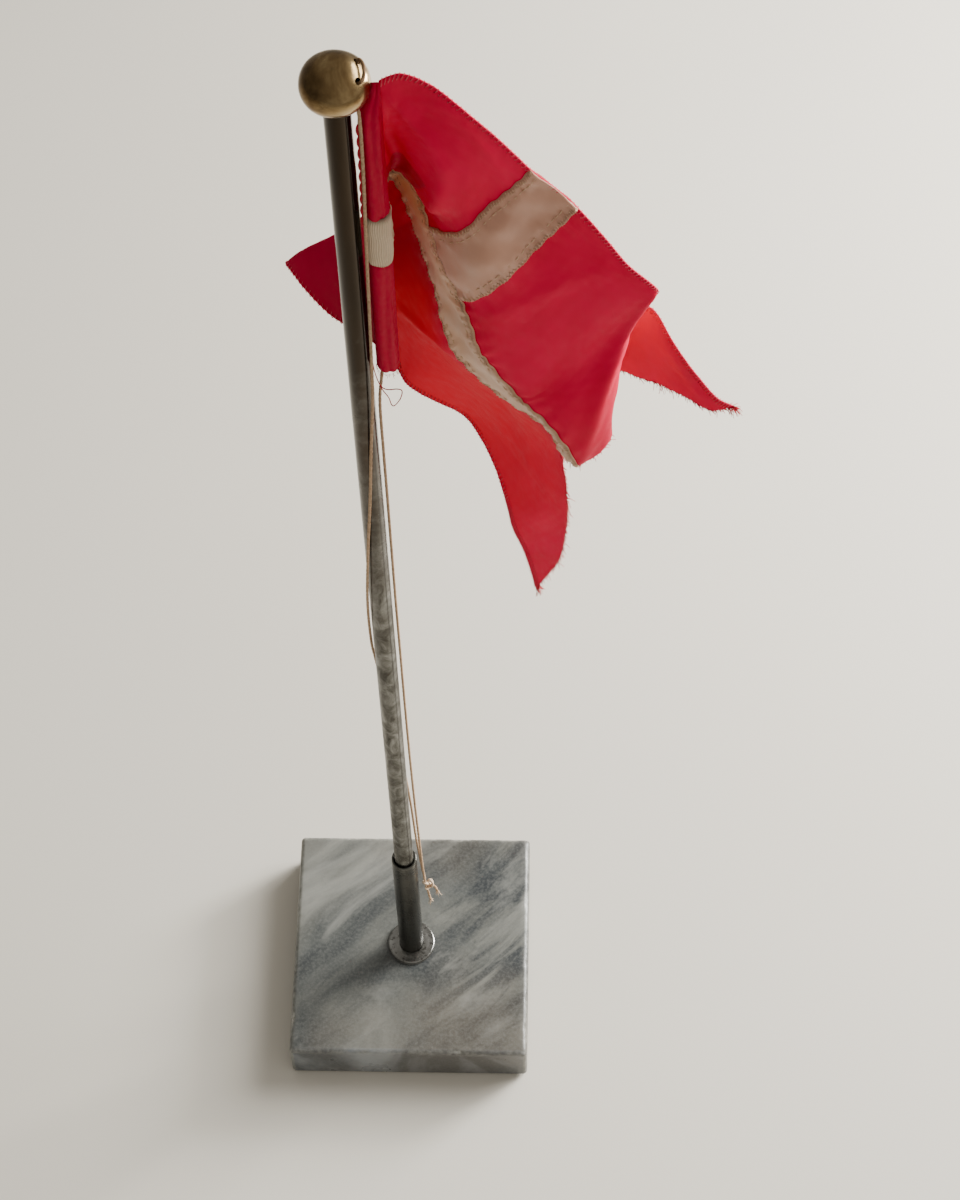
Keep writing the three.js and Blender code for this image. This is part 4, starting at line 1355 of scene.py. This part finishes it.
red_cloth = make_red_cloth()
ribbons = [
    make_ribbon("ribbon_across_front", (0, CROTCH + 13), ARM_V, 0.28),
    make_ribbon("ribbon_upright_front", ARM_U, (0, ARM_V[0]), 0.24),
    make_ribbon("ribbon_across_back", (0, CROTCH + 13), ARM_V, -0.28),
    make_ribbon("ribbon_upright_back_upper", ARM_U, (0, ARM_V[0]), -0.24),
    make_ribbon("ribbon_upright_back_lower", ARM_U, (ARM_V[1], HOIST), -0.24),
]
sewing = make_stitches() + make_hems() + make_fringe() + make_sleeve()
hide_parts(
    "upper_hoist_field", "upper_fly_field", "upper_fly_tail", "lower_hoist_field",
    "lower_fly_field", "lower_fly_tail",
)
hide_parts("horizontal_ribbon_hoist", "horizontal_ribbon_fly")
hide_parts("vertical_ribbon_upper")
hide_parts("vertical_ribbon_lower")

# ---- Room ----------------------------------------------------------------------------------


def make_floor():
    size = 3.0
    corners = [(-size, -size, 0), (size, -size, 0), (size, size, 0), (-size, size, 0)]
    n = Nodes("pale_floor")
    n.colour(n.ramp(n.noise(3, 2), [(0.3, (0.715, 0.668, 0.578)), (0.7, (0.745, 0.698, 0.608))]))
    n.set(Roughness=0.7)
    floor = new_object("floor", corners, [(0, 1, 2, 3)], n.material, False)


def area_light(name, place, target, size, power, colour):
    data = bpy.data.lights.new(name, "AREA")
    data.shape = "RECTANGLE"
    data.size, data.size_y = size
    data.energy = power
    data.color = colour
    light = bpy.data.objects.new(name, data)
    bpy.context.scene.collection.objects.link(light)
    light.location = place
    way = Vector(target) - Vector(place)
    light.rotation_euler = way.to_track_quat("-Z", "Y").to_euler()


def make_lights():
    """A dim warm room, brighter to the right, and a broad low window to the right and back."""
    world = bpy.data.worlds.new("room")
    world.use_nodes = True
    tree = world.node_tree
    background = tree.nodes["Background"]
    coords = tree.nodes.new("ShaderNodeTexCoord")
    axes = tree.nodes.new("ShaderNodeSeparateXYZ")
    tree.links.new(coords.outputs["Generated"], axes.inputs[0])
    ramp = tree.nodes.new("ShaderNodeMapRange")
    ramp.inputs["From Min"].default_value = -1
    ramp.inputs["To Min"].default_value = 0.22
    ramp.inputs["To Max"].default_value = 0.68
    tree.links.new(axes.outputs["X"], ramp.inputs["Value"])
    tree.links.new(ramp.outputs[0], background.inputs["Strength"])
    background.inputs["Color"].default_value = (1.0, 0.965, 0.89, 1)
    bpy.context.scene.world = world
    for name, above, away, size, power in (
        ("window_low", 21, 0.95, 0.24, 15), ("window_broad", 40, 1.0, 0.6, 15),
    ):
        around, rise = math.radians(33), math.radians(above)
        flat = away * math.cos(rise)
        place = (flat * math.cos(around), flat * math.sin(around), away * math.sin(rise))
        area_light(name, place, (0, 0, 0.08), (size, size), power, (1.0, 0.995, 0.97))


make_floor()
make_lights()
